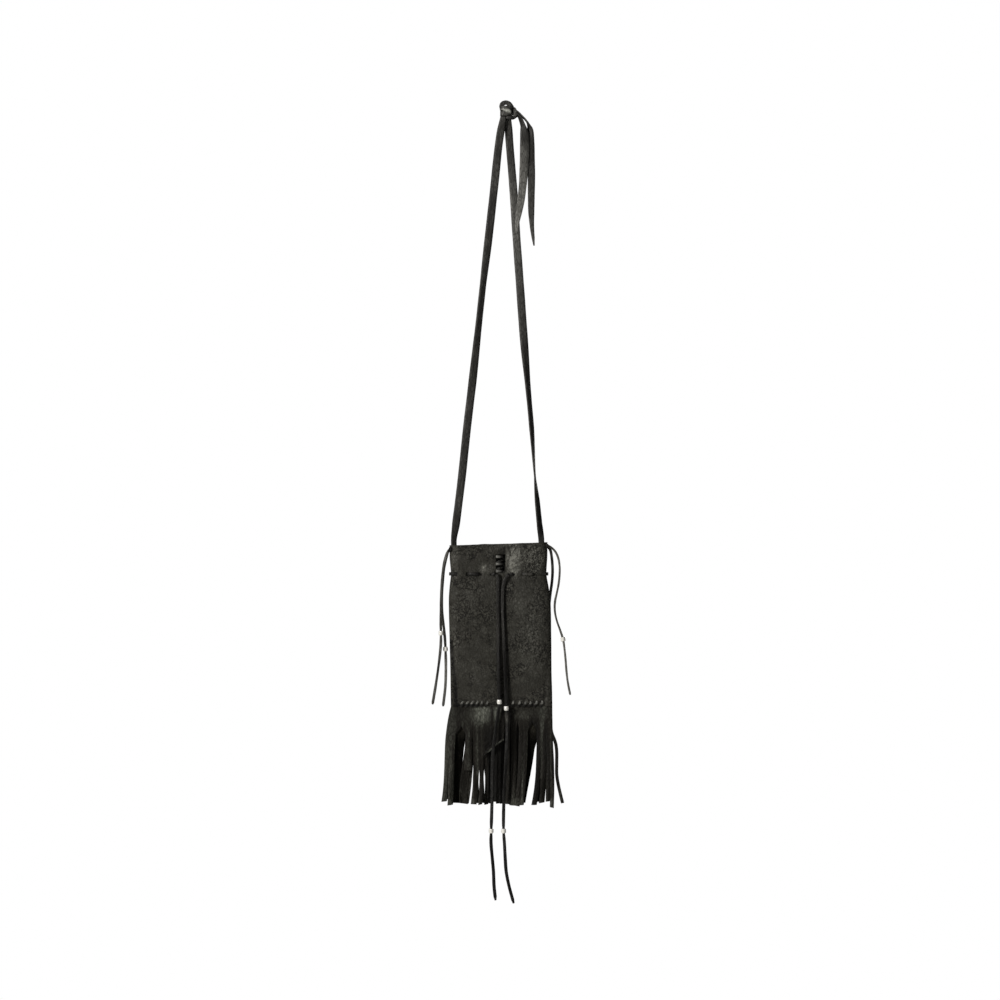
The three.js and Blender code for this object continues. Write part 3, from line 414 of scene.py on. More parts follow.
# Painted light and shade of the front layer: place across, length down, amount (pale for painted light,
# dark below nothing for painted shade), spreads
FRINGE_LIGHT_AND_SHADE = [
    (-10.5, 7, 1.0, 2.8, 9), (20, 12, 0.16, 9, 9), (-51.5, 34, -0.5, 5, 8),
    (-16, 10, -0.45, 1.6, 13), (-3, 10, -0.9, 1.4, 13), (4.6, 10, -0.9, 1.8, 13),
]

# The hide's softened cut edges: their widths in metres and least angle; and how near two points are made one
WALL_EDGE, FRINGE_EDGE = 0.0004, 0.0003
EDGE_ANGLE = math.radians(60)
MERGE = 0.00004

# Stitches of the bottom seam, places across
STITCHES = [-50.6, -44.9, -39.4, -33.4, -27.8, -21.9, 7.5, 15.0, 21.6, 27.4, 34.0, 40.8]
# One stitch: places across, falls from its top and stand-outs; its end: places across, stand-outs and falls
# from the seam
STITCH_TOP, STITCH_LEAN = 179.6, 1.2
STITCH_ROUTE = [(0.9, 0.0, -1.4), (0.8, 0.4, 0.2), (0.5, 1.5, 1.0), (0.0, 2.8, 0.9), (-0.7, 4.4, 0.3)]
STITCH_END = [(-1.0, 2.2, 0.4), (-1.1, 0.8, 0.8)]
STITCH_WIDTH, STITCH_THICK, STITCH_STEP = 2.3, 1.2, 0.7

# Leather: heights of its layers, half width and patches of its wrinkles, clouds of its dye
PORE_RAISE, MOTTLE_RAISE, WRINKLE_SINK = 0.3, 0.9, -4.0
WRINKLE_HALF, WRINKLE_PATCH = 0.07, (0.44, 0.56)
DYE_CLOUD, DYE_RANGE = (0.35, 0.65), (0.76, 1.24)


def length(name, about, default):
    return bpy.props.FloatProperty(name=name, description=about, default=default, unit="LENGTH")


def hex_colour(name, of, default):
    return bpy.props.StringProperty(name=name, description=f"Colour of {of} as sRGB hex", default=default)


class PouchSizes(bpy.types.PropertyGroup):
    wall: length("Wall", "Thickness of the pouch leather", 0.0018)
    strap_width: length("Strap width", "Width of the neck strap", 0.0092)
    strap_thickness: length("Strap thickness", "Thickness of the neck strap", 0.0021)
    strap_end_thickness: length("Strap end thickness", "Thickness of the strap's free ends", 0.0013)
    tail_lace_width: length("Drawstring width", "Width of the drawstring lace", 0.0038)
    side_lace_width: length("Side lace width", "Width of the side laces", 0.0032)
    lace_thickness: length("Lace thickness", "Thickness of all the lace", 0.0016)
    fringe_thickness: length("Fringe thickness", "Thickness of the fringe leather", 0.0015)
    bead_radius: length("Bead radius", "Radius of the beads", 0.0028)
    bead_length: length("Bead length", "Length of the beads along the lace", 0.0052)


class PouchFinish(bpy.types.PropertyGroup):
    body_colour: hex_colour("Pouch leather", "the pouch", "#2f2e29")
    fringe_colour: hex_colour("Fringe leather", "the fringe", "#1a1814")
    # Near-black of the flesh side, which stands in for shade on the back strips
    shade_flesh_colour: hex_colour("Flesh side", "the hide's inner face", "#030302")
    strap_colour: hex_colour("Strap leather", "the strap", "#1f1e1c")
    lace_colour: hex_colour("Lace leather", "the lace", "#0d0c0b")
    bead_colour: hex_colour("Beads", "the beads", "#fdfdfb")
    grain: length("Grain", "Size of one pebble of the grain", 0.0036)


class PouchStage(bpy.types.PropertyGroup):
    floor_colour: hex_colour("Floor", "the floor", "#e9e8e5")
    floor_height: length("Floor height", "Height of the floor under the eye", -1.25)
    floor_side: length("Floor side", "Length of the floor's side", 2.3)
    ambient: bpy.props.FloatProperty(
        name="Ambient", description="Strength of the light from all round", default=0.035)
    key_power: bpy.props.FloatProperty(
        name="Key light", description="Power of the main light", default=70, unit="POWER")
    fill_power: bpy.props.FloatProperty(
        name="Fill light", description="Power of the fill light", default=10, unit="POWER")


# Small tools

def mix(a, b, share):
    return a + (b - a) * share


def ease(value, low, high):
    share = min(max((value - low) / (high - low), 0.0), 1.0)
    return share * share * (3 - 2 * share)


def bell(value, middle, spread):
    return math.exp(-((value - middle) / spread) ** 2)


def ripple(x, y, seed):
    """Smooth noise between about -1 and 1."""
    return noise.noise(Vector((x, y, seed * 7.31)))


def patches(table, x, low):
    """Sum of soft patches: rows of place across, place down, amount, spread across and spread down."""
    return sum(amount * bell(x, across, wide) * bell(low, down, tall)
               for across, down, amount, wide, tall in table)


def at_share(items, share):
    """The item at a share of the way along a list."""
    return items[round(share * (len(items) - 1))]


def hermite(start, stop, leaving, arriving, t):
    """Smooth way from start to stop that leaves and arrives at the given slopes."""
    return ((2 * t**3 - 3 * t**2 + 1) * start + (t**3 - 2 * t**2 + t) * leaving
            + (3 * t**2 - 2 * t**3) * stop + (t**3 - t**2) * arriving)


def table_at(table, at):
    """Straight interpolation in rows of (place, value)."""
    if at <= table[0][0]:
        return table[0][1]
    for (low, first), (high, second) in zip(table, table[1:]):
        if at <= high:
            return mix(first, second, (at - low) / (high - low))
    return table[-1][1]


def smooth_route(points, step):
    """Even points along the smooth curve through the given ones, in the same unit."""
    knots = [Vector(point) for point in points]
    ends = [2 * knots[0] - knots[1]] + knots + [2 * knots[-1] - knots[-2]]
    fine = []
    pieces = 24
    for before, start, stop, after in zip(ends, ends[1:], ends[2:], ends[3:]):
        sides = ((before, start), (start, stop), (stop, after))
        g0, g1, g2 = (math.sqrt(max((b - a).length, 1e-9)) for a, b in sides)
        leaving = (start - before) / g0 - (stop - before) / (g0 + g1) + (stop - start) / g1
        arriving = (stop - start) / g1 - (after - start) / (g1 + g2) + (after - stop) / g2
        for piece in range(pieces):
            fine.append(hermite(start, stop, g1 * leaving, g1 * arriving, piece / pieces))
    fine.append(knots[-1])
    runs = [0.0]
    for a, b in zip(fine, fine[1:]):
        runs.append(runs[-1] + (b - a).length)
    count = max(4, round(runs[-1] / step))
    even = []
    at = 0
    for i in range(count + 1):
        run = runs[-1] * i / count
        while at < len(fine) - 2 and runs[at + 1] < run:
            at += 1
        even.append(fine[at].lerp(fine[at + 1], (run - runs[at]) / max(runs[at + 1] - runs[at], 1e-9)))
    return even


def linear(colour):
    """An sRGB hex colour as linear RGBA."""
    parts = [int(colour[i:i + 2], 16) / 255 for i in (1, 3, 5)]
    return tuple(c / 12.92 if c <= 0.04045 else ((c + 0.055) / 1.055) ** 2.4 for c in parts) + (1.0,)


def add_node(tree, kind, settings=None, **inputs):
    """Adds a node; an input is a value for the socket, or another node's output to link from."""
    node = tree.nodes.new(kind)
    for name, value in (settings or {}).items():
        setattr(node, name, value)
    for name, value in inputs.items():
        socket = node.inputs[int(name[1:])] if name[1:].isdigit() else node.inputs[name.replace("_", " ")]
        if isinstance(value, bpy.types.NodeSocket):
            tree.links.new(value, socket)
        else:
            socket.default_value = value
    return node


# Materials

def maths(tree, operation, *values, clamp=False):
    """Output of a maths node over numbers or outputs."""
    inputs = {f"i{number}": value for number, value in enumerate(values)}
    settings = {"operation": operation, "use_clamp": clamp}
    return add_node(tree, "ShaderNodeMath", settings, **inputs).outputs["Value"]


def stretch(tree, value, low, high, bottom=0.0, top=1.0, smooth=False):
    """Output of a node that carries a value from low and high to bottom and top."""
    settings = {"interpolation_type": "SMOOTHSTEP" if smooth else "LINEAR"}
    return add_node(tree, "ShaderNodeMapRange", settings, Value=value, From_Min=low, From_Max=high,
                    To_Min=bottom, To_Max=top).outputs["Result"]


def noise_node(tree, place, scale, detail, **more):
    """Output of a noise node."""
    node = add_node(tree, "ShaderNodeTexNoise", Vector=place, Scale=scale, Detail=detail, **more)
    return node.outputs["Fac"]


def leather(name, colour, light_and_tone, grain, depth, roughness, shine, streak=(1.0, 1.0, 1.0), wrinkle_depth_and_shade=0.0,
            mark="light_and_tone_mark"):
    """Dyed leather: pebbles with creases between them in clouds of dye; its wrinkles sink into the bump and
    are painted dark as shade, and its pebble tops are painted paler as light. It is paler where the mesh's
    mark paints light, and in places a paler tone, and painted dark as shade where that mark falls below
    nothing."""
    material = bpy.data.materials.get(name)
    if material:
        return material
    material = bpy.data.materials.new(name)
    material.use_nodes = True
    tree = material.node_tree
    tree.nodes.clear()
    place = add_node(tree, "ShaderNodeTexCoord").outputs["Object"]
    drawn = add_node(tree, "ShaderNodeMapping", Vector=place, Scale=streak).outputs["Vector"]
    bend = add_node(tree, "ShaderNodeTexNoise", Vector=drawn, Scale=0.5 / grain, Detail=2.0)
    shifted = add_node(tree, "ShaderNodeVectorMath", {"operation": "MULTIPLY_ADD"},
                       i0=bend.outputs["Color"], i1=(grain * 2.2,) * 3, i2=drawn).outputs["Vector"]
    cells = add_node(tree, "ShaderNodeTexVoronoi", {"feature": "DISTANCE_TO_EDGE"},
                     Vector=shifted, Scale=1 / grain, Randomness=1.0)
    pebble = stretch(tree, cells.outputs["Distance"], 0.0, 0.2, smooth=True)
    mottle = stretch(tree, noise_node(tree, drawn, 0.36 / grain, 4.0, Roughness=0.62), 0.4, 0.62)
    pores = noise_node(tree, drawn, 2.0 / grain, 3.0, Roughness=0.6)
    rough = maths(tree, "MULTIPLY_ADD", pores, PORE_RAISE, pebble)
    # Wrinkles follow the middle value of a swirling noise, in patches that a broad cloud sets
    clouds = noise_node(tree, drawn, 0.16 / grain, 2.0)
    swirls = noise_node(tree, drawn, 0.95 / grain, 2.0, Distortion=0.6)
    apart = maths(tree, "ABSOLUTE", maths(tree, "SUBTRACT", swirls, 0.5))
    wrinkle = stretch(tree, apart, 0.0, WRINKLE_HALF, wrinkle_depth_and_shade, 0.0, smooth=True)
    sunk = maths(tree, "MULTIPLY", wrinkle, stretch(tree, clouds, *WRINKLE_PATCH))
    raised = maths(tree, "MULTIPLY_ADD", mottle, MOTTLE_RAISE, rough)
    height = maths(tree, "MULTIPLY_ADD", sunk, WRINKLE_SINK, raised)
    light_and_tone_mark = add_node(tree, "ShaderNodeAttribute", {"attribute_name": mark}).outputs["Fac"]
    # Painted light: pebble tops are paler, and the mesh's mark shows most on them
    light_and_tone_marked = maths(tree, "MULTIPLY", maths(tree, "MULTIPLY_ADD", pebble, 0.55, 0.5), light_and_tone_mark)
    light_and_tone_share = maths(tree, "MULTIPLY_ADD", maths(tree, "MULTIPLY", pebble, mottle), 0.11, light_and_tone_marked, clamp=True)
    tint = add_node(tree, "ShaderNodeMix", {"data_type": "RGBA"}, Factor=light_and_tone_share,
                    i6=linear(colour), i7=linear(light_and_tone))
    # A mark below nothing is painted shade: it takes the dye down to black
    unshaded = maths(tree, "ADD", light_and_tone_mark, 1.0, clamp=True)
    # Painted shade in the wrinkles: they take the dye darker still
    shade_factor = maths(tree, "SUBTRACT", unshaded, sunk, clamp=True)
    dye_and_shade = maths(tree, "MULTIPLY", shade_factor, stretch(tree, clouds, *DYE_CLOUD, *DYE_RANGE))
    dyed_and_shaded = add_node(tree, "ShaderNodeVectorMath", {"operation": "SCALE"}, i0=tint.outputs[2], Scale=dye_and_shade)
    dull = stretch(tree, height, 0.3, 2.2, roughness + 0.16, roughness - 0.06)
    bump = add_node(tree, "ShaderNodeBump", Strength=1.0, Distance=depth, Height=height)
    shader = add_node(tree, "ShaderNodeBsdfPrincipled", Base_Color=dyed_and_shaded.outputs["Vector"], Roughness=dull,
                      Normal=bump.outputs["Normal"], Specular_IOR_Level=shine)
    add_node(tree, "ShaderNodeOutputMaterial", Surface=shader.outputs["BSDF"])
    return material


def pouch_leather():
    # Pebbled cowhide: soft lumps of a few millimetres that break up the light into small dull glints
    finish = bpy.context.scene.pouch_finish
    return leather("pebbled_cowhide", finish.body_colour, light_and_tone="#8b8b85", grain=finish.grain, depth=0.00026,
                   roughness=0.54, shine=0.27, wrinkle_depth_and_shade=0.85)


def fringe_leather(name="cut_cowhide", mark="light_and_tone_mark"):
    # The same hide cut in strips: flatter grain, drawn out a little along the strips
    finish = bpy.context.scene.pouch_finish
    return leather(name, finish.fringe_colour, light_and_tone="#72756d", grain=finish.grain, depth=0.00024,
                   roughness=0.58, shine=0.2, streak=(1, 1, 0.5), wrinkle_depth_and_shade=0.3, mark=mark)


def fringe_rear():
    # The fringe's hide as seen from behind: its mark is one that no mesh has, so it carries none of the
    # painted light and shade
    return fringe_leather("plain_cut_cowhide", "no_light_and_tone_mark")


def shade_flesh_side():
    # Painted shade: the hide's inner face, dull, napped and almost black, stands in for the shade on back
    # strips that hang behind the front ones
    finish = bpy.context.scene.pouch_finish
    return leather("napped_flesh_side_as_shade", finish.shade_flesh_colour, light_and_tone="#3a3832", grain=0.0016, depth=0.0002,
                   roughness=0.85, shine=0.06, streak=(1, 1, 0.5))


def strap_leather(name="smooth_strap_leather", light_and_tone="#a8a8a4", roughness=0.52, shine=0.42):
    # Smooth strap leather: fine grain drawn out along the strap, greyer where its mark paints light on it
    # and darker where it paints shade
    finish = bpy.context.scene.pouch_finish
    return leather(name, finish.strap_colour, light_and_tone=light_and_tone, grain=0.0026, depth=0.00012,
                   roughness=roughness, shine=shine, streak=(1, 1, 0.3))


def knot_leather():
    # The strap in the knot: glossier, with a pale painted highlight along its proud turn
    return strap_leather("knot_strap_leather", light_and_tone="#cfd1cb", roughness=0.44, shine=0.45)


def lace_leather(name="cut_lace_leather", light_and_tone="#4a4944", roughness=0.46):
    # Cut lace: fine grain, dark, with a slight waxy sheen
    finish = bpy.context.scene.pouch_finish
    return leather(name, finish.lace_colour, light_and_tone=light_and_tone, grain=0.0018, depth=0.0002,
                   roughness=roughness, shine=0.38, streak=(1, 1, 0.35))


def side_lace_leather():
    # The side laces: the same lace, painted greyer where light falls on them
    return lace_leather("lit_lace_leather", light_and_tone="#92918c", roughness=0.5)


def bead_glaze():
    # Glazed white bead: clean gloss over a body that is never one even white
    material = bpy.data.materials.get("white_glazed_bead")
    if material:
        return material
    finish = bpy.context.scene.pouch_finish
    material = bpy.data.materials.new("white_glazed_bead")
    material.use_nodes = True
    tree = material.node_tree
    tree.nodes.clear()
    place = add_node(tree, "ShaderNodeTexCoord").outputs["Object"]
    clouds = noise_node(tree, place, 1 / 0.002, 3.0)
    tint = add_node(tree, "ShaderNodeMix", {"data_type": "RGBA"}, Factor=clouds,
                    i6=linear(finish.bead_colour), i7=linear("#f3f2ed"))
    bump = add_node(tree, "ShaderNodeBump", Strength=0.3, Distance=0.00005, Height=clouds)
    shader = add_node(tree, "ShaderNodeBsdfPrincipled", Base_Color=tint.outputs[2], Roughness=0.16,
                      Normal=bump.outputs["Normal"], IOR=1.5, Coat_Weight=0.5, Coat_Roughness=0.06)
    add_node(tree, "ShaderNodeOutputMaterial", Surface=shader.outputs["BSDF"])
    return material


# Mesh making

def skin(columns, rows, point_at):
    """A closed ring of points, extruded on through every row; point_at gives each point in metres."""
    bm = bmesh.new()
    column_of = bm.verts.layers.int.new("column")
    ring = []
    for column in range(columns):
        vert = bm.verts.new(point_at(column, 0))
        vert[column_of] = column
        ring.append(vert)
    edges = [bm.edges.new((a, b)) for a, b in zip(ring, ring[1:] + ring[:1])]
    for row in range(1, rows):
        grown = bmesh.ops.extrude_edge_only(bm, edges=edges)["geom"]
        edges = [part for part in grown if isinstance(part, bmesh.types.BMEdge) and part.is_boundary]
        for part in grown:
            if isinstance(part, bmesh.types.BMVert):
                part.co = point_at(part[column_of], row)
    return bm


def close_ends(bm):
    bmesh.ops.holes_fill(bm, edges=[edge for edge in bm.edges if edge.is_boundary], sides=0)


def mark_light_and_tone(bm, amount_at):
    """Marks how much paler each point is painted, as painted light and in places a paler tone, and below
    nothing how much darker, as painted shade; amount_at gets the point in millimetres.
    """
    light_and_tone_mark = bm.verts.layers.float.new("light_and_tone_mark")
    for vert in bm.verts:
        vert[light_and_tone_mark] = amount_at(vert.co / MM)


def finish_piece(bm, name, materials, slot, *nodes, outward=True):
    """Makes a mesh piece that rides on the body and stands for its nodes; outward turns its faces out."""
    mesh = bpy.data.meshes.new(name)
    if outward:
        bmesh.ops.recalc_face_normals(bm, faces=bm.faces)
    for face in bm.faces:
        face.smooth = True
    bm.to_mesh(mesh)
    bm.free()
    for material in materials:
        mesh.materials.append(material)
    piece = bpy.data.objects.new(name, mesh)
    bpy.context.scene.collection.objects.link(piece)
    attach(piece, "root")
    if nodes:
        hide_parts(*nodes)
    return piece


def soft_edge(piece, width):
    """Rounds the cut edges of a piece a little."""
    edge = piece.modifiers.new("edge", "BEVEL")
    edge.width = width
    edge.segments = 2
    edge.limit_method = "ANGLE"
    edge.angle_limit = EDGE_ANGLE


def join(bm, made):
    """Moves a made mesh into another."""
    mesh = bpy.data.meshes.new("made")
    made.to_mesh(mesh)
    made.free()
    bm.from_mesh(mesh)
    bpy.data.meshes.remove(mesh)


# Section of a flat strip as shares of its width and thickness, with soft edges
STRIP_SECTION = [
    (0.5, -0.2), (0.5, 0.2), (0.455, 0.44), (0.22, 0.5), (-0.22, 0.5), (-0.455, 0.44),
    (-0.5, 0.2), (-0.5, -0.2), (-0.455, -0.44), (-0.22, -0.5), (0.22, -0.5), (0.455, -0.44),
]


def strip(path, width, thick, turn=0.0, faces=FRONT, cup=0.0):
    """A flat strip along a path in millimetres, its flat side to faces and turned by turn degrees.
    Each of width, thick, turn and faces is one value or a function of the share along the path."""
    def at(given, share):
        return given(share) if callable(given) else given

    count = len(path)
    frames = []
    for i, place in enumerate(path):
        share = i / (count - 1)
        along = (path[min(i + 1, count - 1)] - path[max(i - 1, 0)]).normalized()
        across = at(faces, share).cross(along).normalized()
        across = Matrix.Rotation(math.radians(at(turn, share)), 3, along) @ across
        frames.append((place, across, across.cross(along), at(width, share), at(thick, share)))

    def point_at(column, row):
        a, t = STRIP_SECTION[column]
        place, across, through, wide, deep = frames[row]
        bent = t * deep + cup * wide * (a * a - 0.08)
        return (place + across * (a * wide) + through * bent) * MM

    bm = skin(len(STRIP_SECTION), count, point_at)
    close_ends(bm)
    return bm


# Pouch wall

def section_at(drop):
    """Middle, half width, half depth and squareness of the wall at a drop."""
    rows = POUCH_SECTIONS
    at = max(i for i, row in enumerate(rows[:-1]) if row[0] <= max(drop, 0))
    low, high = rows[at], rows[at + 1]
    step = high[0] - low[0]
    t = (drop - low[0]) / step
    values = []
    for column in range(1, 5):
        straight = (high[column] - low[column]) / step
        first = straight
        last = straight
        if at > 0:
            first = (high[column] - rows[at - 1][column]) / (high[0] - rows[at - 1][0])
        if at + 2 < len(rows):
            last = (rows[at + 2][column] - low[column]) / (rows[at + 2][0] - low[0])
        values.append(hermite(low[column], high[column], step * first, step * last, t))
    return values


def plain_wall(angle, drop, offset):
    """Point of the wall's outer face with its large folds, in millimetres."""
    middle, half_width, half_depth, squareness = section_at(drop)
    collar = min(max(1 - drop / RUFFLE_FADES, 0), 1)
    drawn = math.exp(-((drop - DRAW_DROP) / GATHER_REACH) ** 2)
    out = (offset + RUFFLE_DEPTH * collar * math.sin(RUFFLE_COUNT * angle)
           + GATHER_DEPTH * drawn * (math.cos(GATHER_COUNT * angle) - 1) / 2)
    c, s = math.cos(angle), math.sin(angle)
    x = middle + (half_width + out) * math.copysign(abs(c) ** (2 / squareness), c)
    y = (half_depth + out) * math.copysign(abs(s) ** (2 / squareness), s)
    lift = min(max(1 - drop / DRAW_DROP, 0), 1) * (RIM_RISE + RIM_TILT * (x - middle) / half_width)
    return Vector((x, y, RIM_Z - drop + lift))


def crumple(x, drop, front):
    """How far the small creases stand out, in millimetres; front is 1 on the front wall and 0 on the back."""
    def creases(height, wide, tall, seed):
        return height * ripple(x / wide, drop / tall, seed + front)

    out = creases(0.55, 34, 40, 1) + creases(0.2, 9, 10, 4)
    out += creases(0.5, 4.2, 26, 8) * bell(drop, DRAW_DROP, 13)
    out += creases(0.35, 6.5, 15, 12) * (1 - ease(drop, 20, 40))
    if front < 0.5:
        return out
    out += patches(LUMPS, x, drop)
    for start, stop, depth, half in GROOVES:
        away, nearest = from_line(x, drop, start, stop)
        out -= depth * math.exp(-(away / half) ** 2) * (1 - 0.6 * nearest)
    # Fine wrinkles above the right half of the drawstring
    wrinkled = ease(x, 17, 22) * (1 - ease(x, 34, 40)) * bell(drop, 28, 7)
    out += 0.3 * wrinkled * math.cos(2 * math.pi * (drop + 0.04 * x) / 3.4)
    # Bands folded round the lower corners, with a sunk line along their inner edges
    low = ease(drop, *SIDE_BAND_STARTS)
    left, right = (table_at(line, drop) for line in SIDE_BANDS)
    out += SIDE_BAND_RISE * low * (1 - ease(x, left - SIDE_BAND_EDGE, left + SIDE_BAND_EDGE))
    out += SIDE_BAND_RISE * low * ease(x, right - SIDE_BAND_EDGE, right + SIDE_BAND_EDGE)
    out -= 0.7 * low * (bell(x, left + 1.4, 1.2) + bell(x, right - 1.4, 1.2))
    # The wall turns in at the bottom seam and puckers at each stitch
    out -= 1.3 * ease(drop, 182.4, 184.6) * ease(x, -58, -54) * (1 - ease(x, 43, 47))
    puckered = bell(drop, 181, 5) * ease(x, -54, -48) * (1 - ease(x, 40, 46))
    nearest = min(STITCHES, key=lambda place: abs(place - x))
    out -= 0.45 * puckered * bell(x, nearest + 0.3, 1.6)
    return out


def from_line(x, drop, start, stop):
    """How far a point of the wall is from a straight line on it, and the nearest place along the line."""
    (x0, d0), (x1, d1) = start, stop
    share = ((x - x0) * (x1 - x0) + (drop - d0) * (d1 - d0)) / ((x1 - x0) ** 2 + (d1 - d0) ** 2)
    nearest = min(max(share, 0.0), 1.0)
    return math.hypot(x - mix(x0, x1, nearest), drop - mix(d0, d1, nearest)), nearest


def ring_angles(drop, columns):
    """Angles that share out the wall's ring at a drop evenly, from the middle of the front, the ring's
    length, and a table of lengths along it and angles."""
    samples = 1440
    angles = [-math.pi / 2 + 2 * math.pi * i / samples for i in range(samples + 1)]
    places = [plain_wall(angle, drop, 0) for angle in angles]
    runs = [0.0]
    for a, b in zip(places, places[1:]):
        runs.append(runs[-1] + (b - a).length)
    found = []
    at = 0
    for i in range(columns):
        run = runs[-1] * i / columns
        while runs[at + 1] < run:
            at += 1
        found.append(mix(angles[at], angles[at + 1], (run - runs[at]) / (runs[at + 1] - runs[at])))
    return found, runs[-1], list(zip(runs, angles))


def wall_drops():
    drops = []
    for low, high, step in WALL_BANDS:
        count = round((high - low) / step)
        drops += [mix(low, high, i / count) for i in range(count)]
    return drops + [POUCH_HEIGHT]


def draw_slits(whole):
    """Places of the drawstring's slits along the wall's ring."""
    half = whole / 2
    return (RIGHT_SLITS + [half - run for run in BACK_SLITS] + [half + run for run in reversed(BACK_SLITS)]
            + [whole - run for run in reversed(LEFT_SLITS)])


def front_angle(x, drop):
    """Angle of the front wall at a place across it."""
    middle, half_width, _, squareness = section_at(drop)
    share = (x - middle) / half_width
    return -math.acos(math.copysign(min(abs(share), 1.0) ** (squareness / 2), share))


def front_point(x, drop, out):
    """Point in front of the wall's outer face at a place across it, with the creases, in millimetres."""
    return plain_wall(front_angle(x, drop), drop, out + crumple(x, drop, 1))


# Operators

class NECKPOUCH_OT_stage(bpy.types.Operator):
    """Sets up the floor, the light and the camera"""
    bl_idname = "neckpouch.stage"
    bl_label = "Stage"

    def execute(self, context):
        stage = context.scene.pouch_stage
        bm = bmesh.new()
        bmesh.ops.create_grid(bm, x_segments=8, y_segments=8, size=stage.floor_side / 2)
        bmesh.ops.translate(bm, verts=bm.verts, vec=(0, 0, stage.floor_height))
        mesh = bpy.data.meshes.new("studio_floor")
        bm.to_mesh(mesh)
        bm.free()
        paint = bpy.data.materials.new("matt_white_floor")
        paint.use_nodes = True
        tree = paint.node_tree
        shader = tree.nodes["Principled BSDF"]
        shader.inputs["Base Color"].default_value = linear(stage.floor_colour)
        place = add_node(tree, "ShaderNodeTexCoord").outputs["Object"]
        dull = stretch(tree, noise_node(tree, place, 6.0, 2.0), 0.0, 1.0, 0.7, 0.85)
        tree.links.new(dull, shader.inputs["Roughness"])
        mesh.materials.append(paint)
        floor = bpy.data.objects.new("studio_floor", mesh)
        context.scene.collection.objects.link(floor)

        world = bpy.data.worlds.new("white_studio")
        world.use_nodes = True
        tree = world.node_tree
        tree.nodes.clear()
        seen = add_node(tree, "ShaderNodeBackground", Color=(1, 1, 1, 1), Strength=1.0)
        lit = add_node(tree, "ShaderNodeBackground", Color=(1, 1, 1, 1), Strength=stage.ambient)
        rays = add_node(tree, "ShaderNodeLightPath")
        chosen = add_node(tree, "ShaderNodeMixShader", i0=rays.outputs["Is Camera Ray"],
                          i1=lit.outputs["Background"], i2=seen.outputs["Background"])
        add_node(tree, "ShaderNodeOutputWorld", Surface=chosen.outputs["Shader"])
        context.scene.world = world
        context.scene.view_settings.view_transform = "Standard"

        for name, place, size, power, times in LAMPS:
            lamp = bpy.data.lights.new(name, "AREA")
            lamp.shape = "DISK"
            lamp.size = size
            lamp.energy = times * getattr(stage, power)
            lamp.color = LAMP_COLOUR
            holder = bpy.data.objects.new(name, lamp)
            holder.location = place
            holder.rotation_euler = (LAMP_TARGET - Vector(place)).to_track_quat("-Z", "Y").to_euler()
            context.scene.collection.objects.link(holder)

        lens = bpy.data.cameras.new("front_camera")
        lens.lens = CAMERA_LENS
        lens.sensor_width = CAMERA_SENSOR
        camera = bpy.data.objects.new("front_camera", lens)
        camera.location = CAMERA_PLACE
        camera.rotation_euler = (math.pi / 2, 0, 0)
        context.scene.collection.objects.link(camera)
        context.scene.camera = camera
        return {"FINISHED"}


def lace_light_and_tone(node, z):
    """Side laces take painted light from their table. Drawstring tails darken downwards, and the right one
    is paler under its bead."""
    if node in SIDE_LACE_LIGHT:
        return table_at(SIDE_LACE_LIGHT[node], z)
    pale = 1.0 * bell(z, -703, 8) if node.endswith("right") else 0.0
    return mix(0.1, -0.5, ease(-z, 610, 660)) + pale


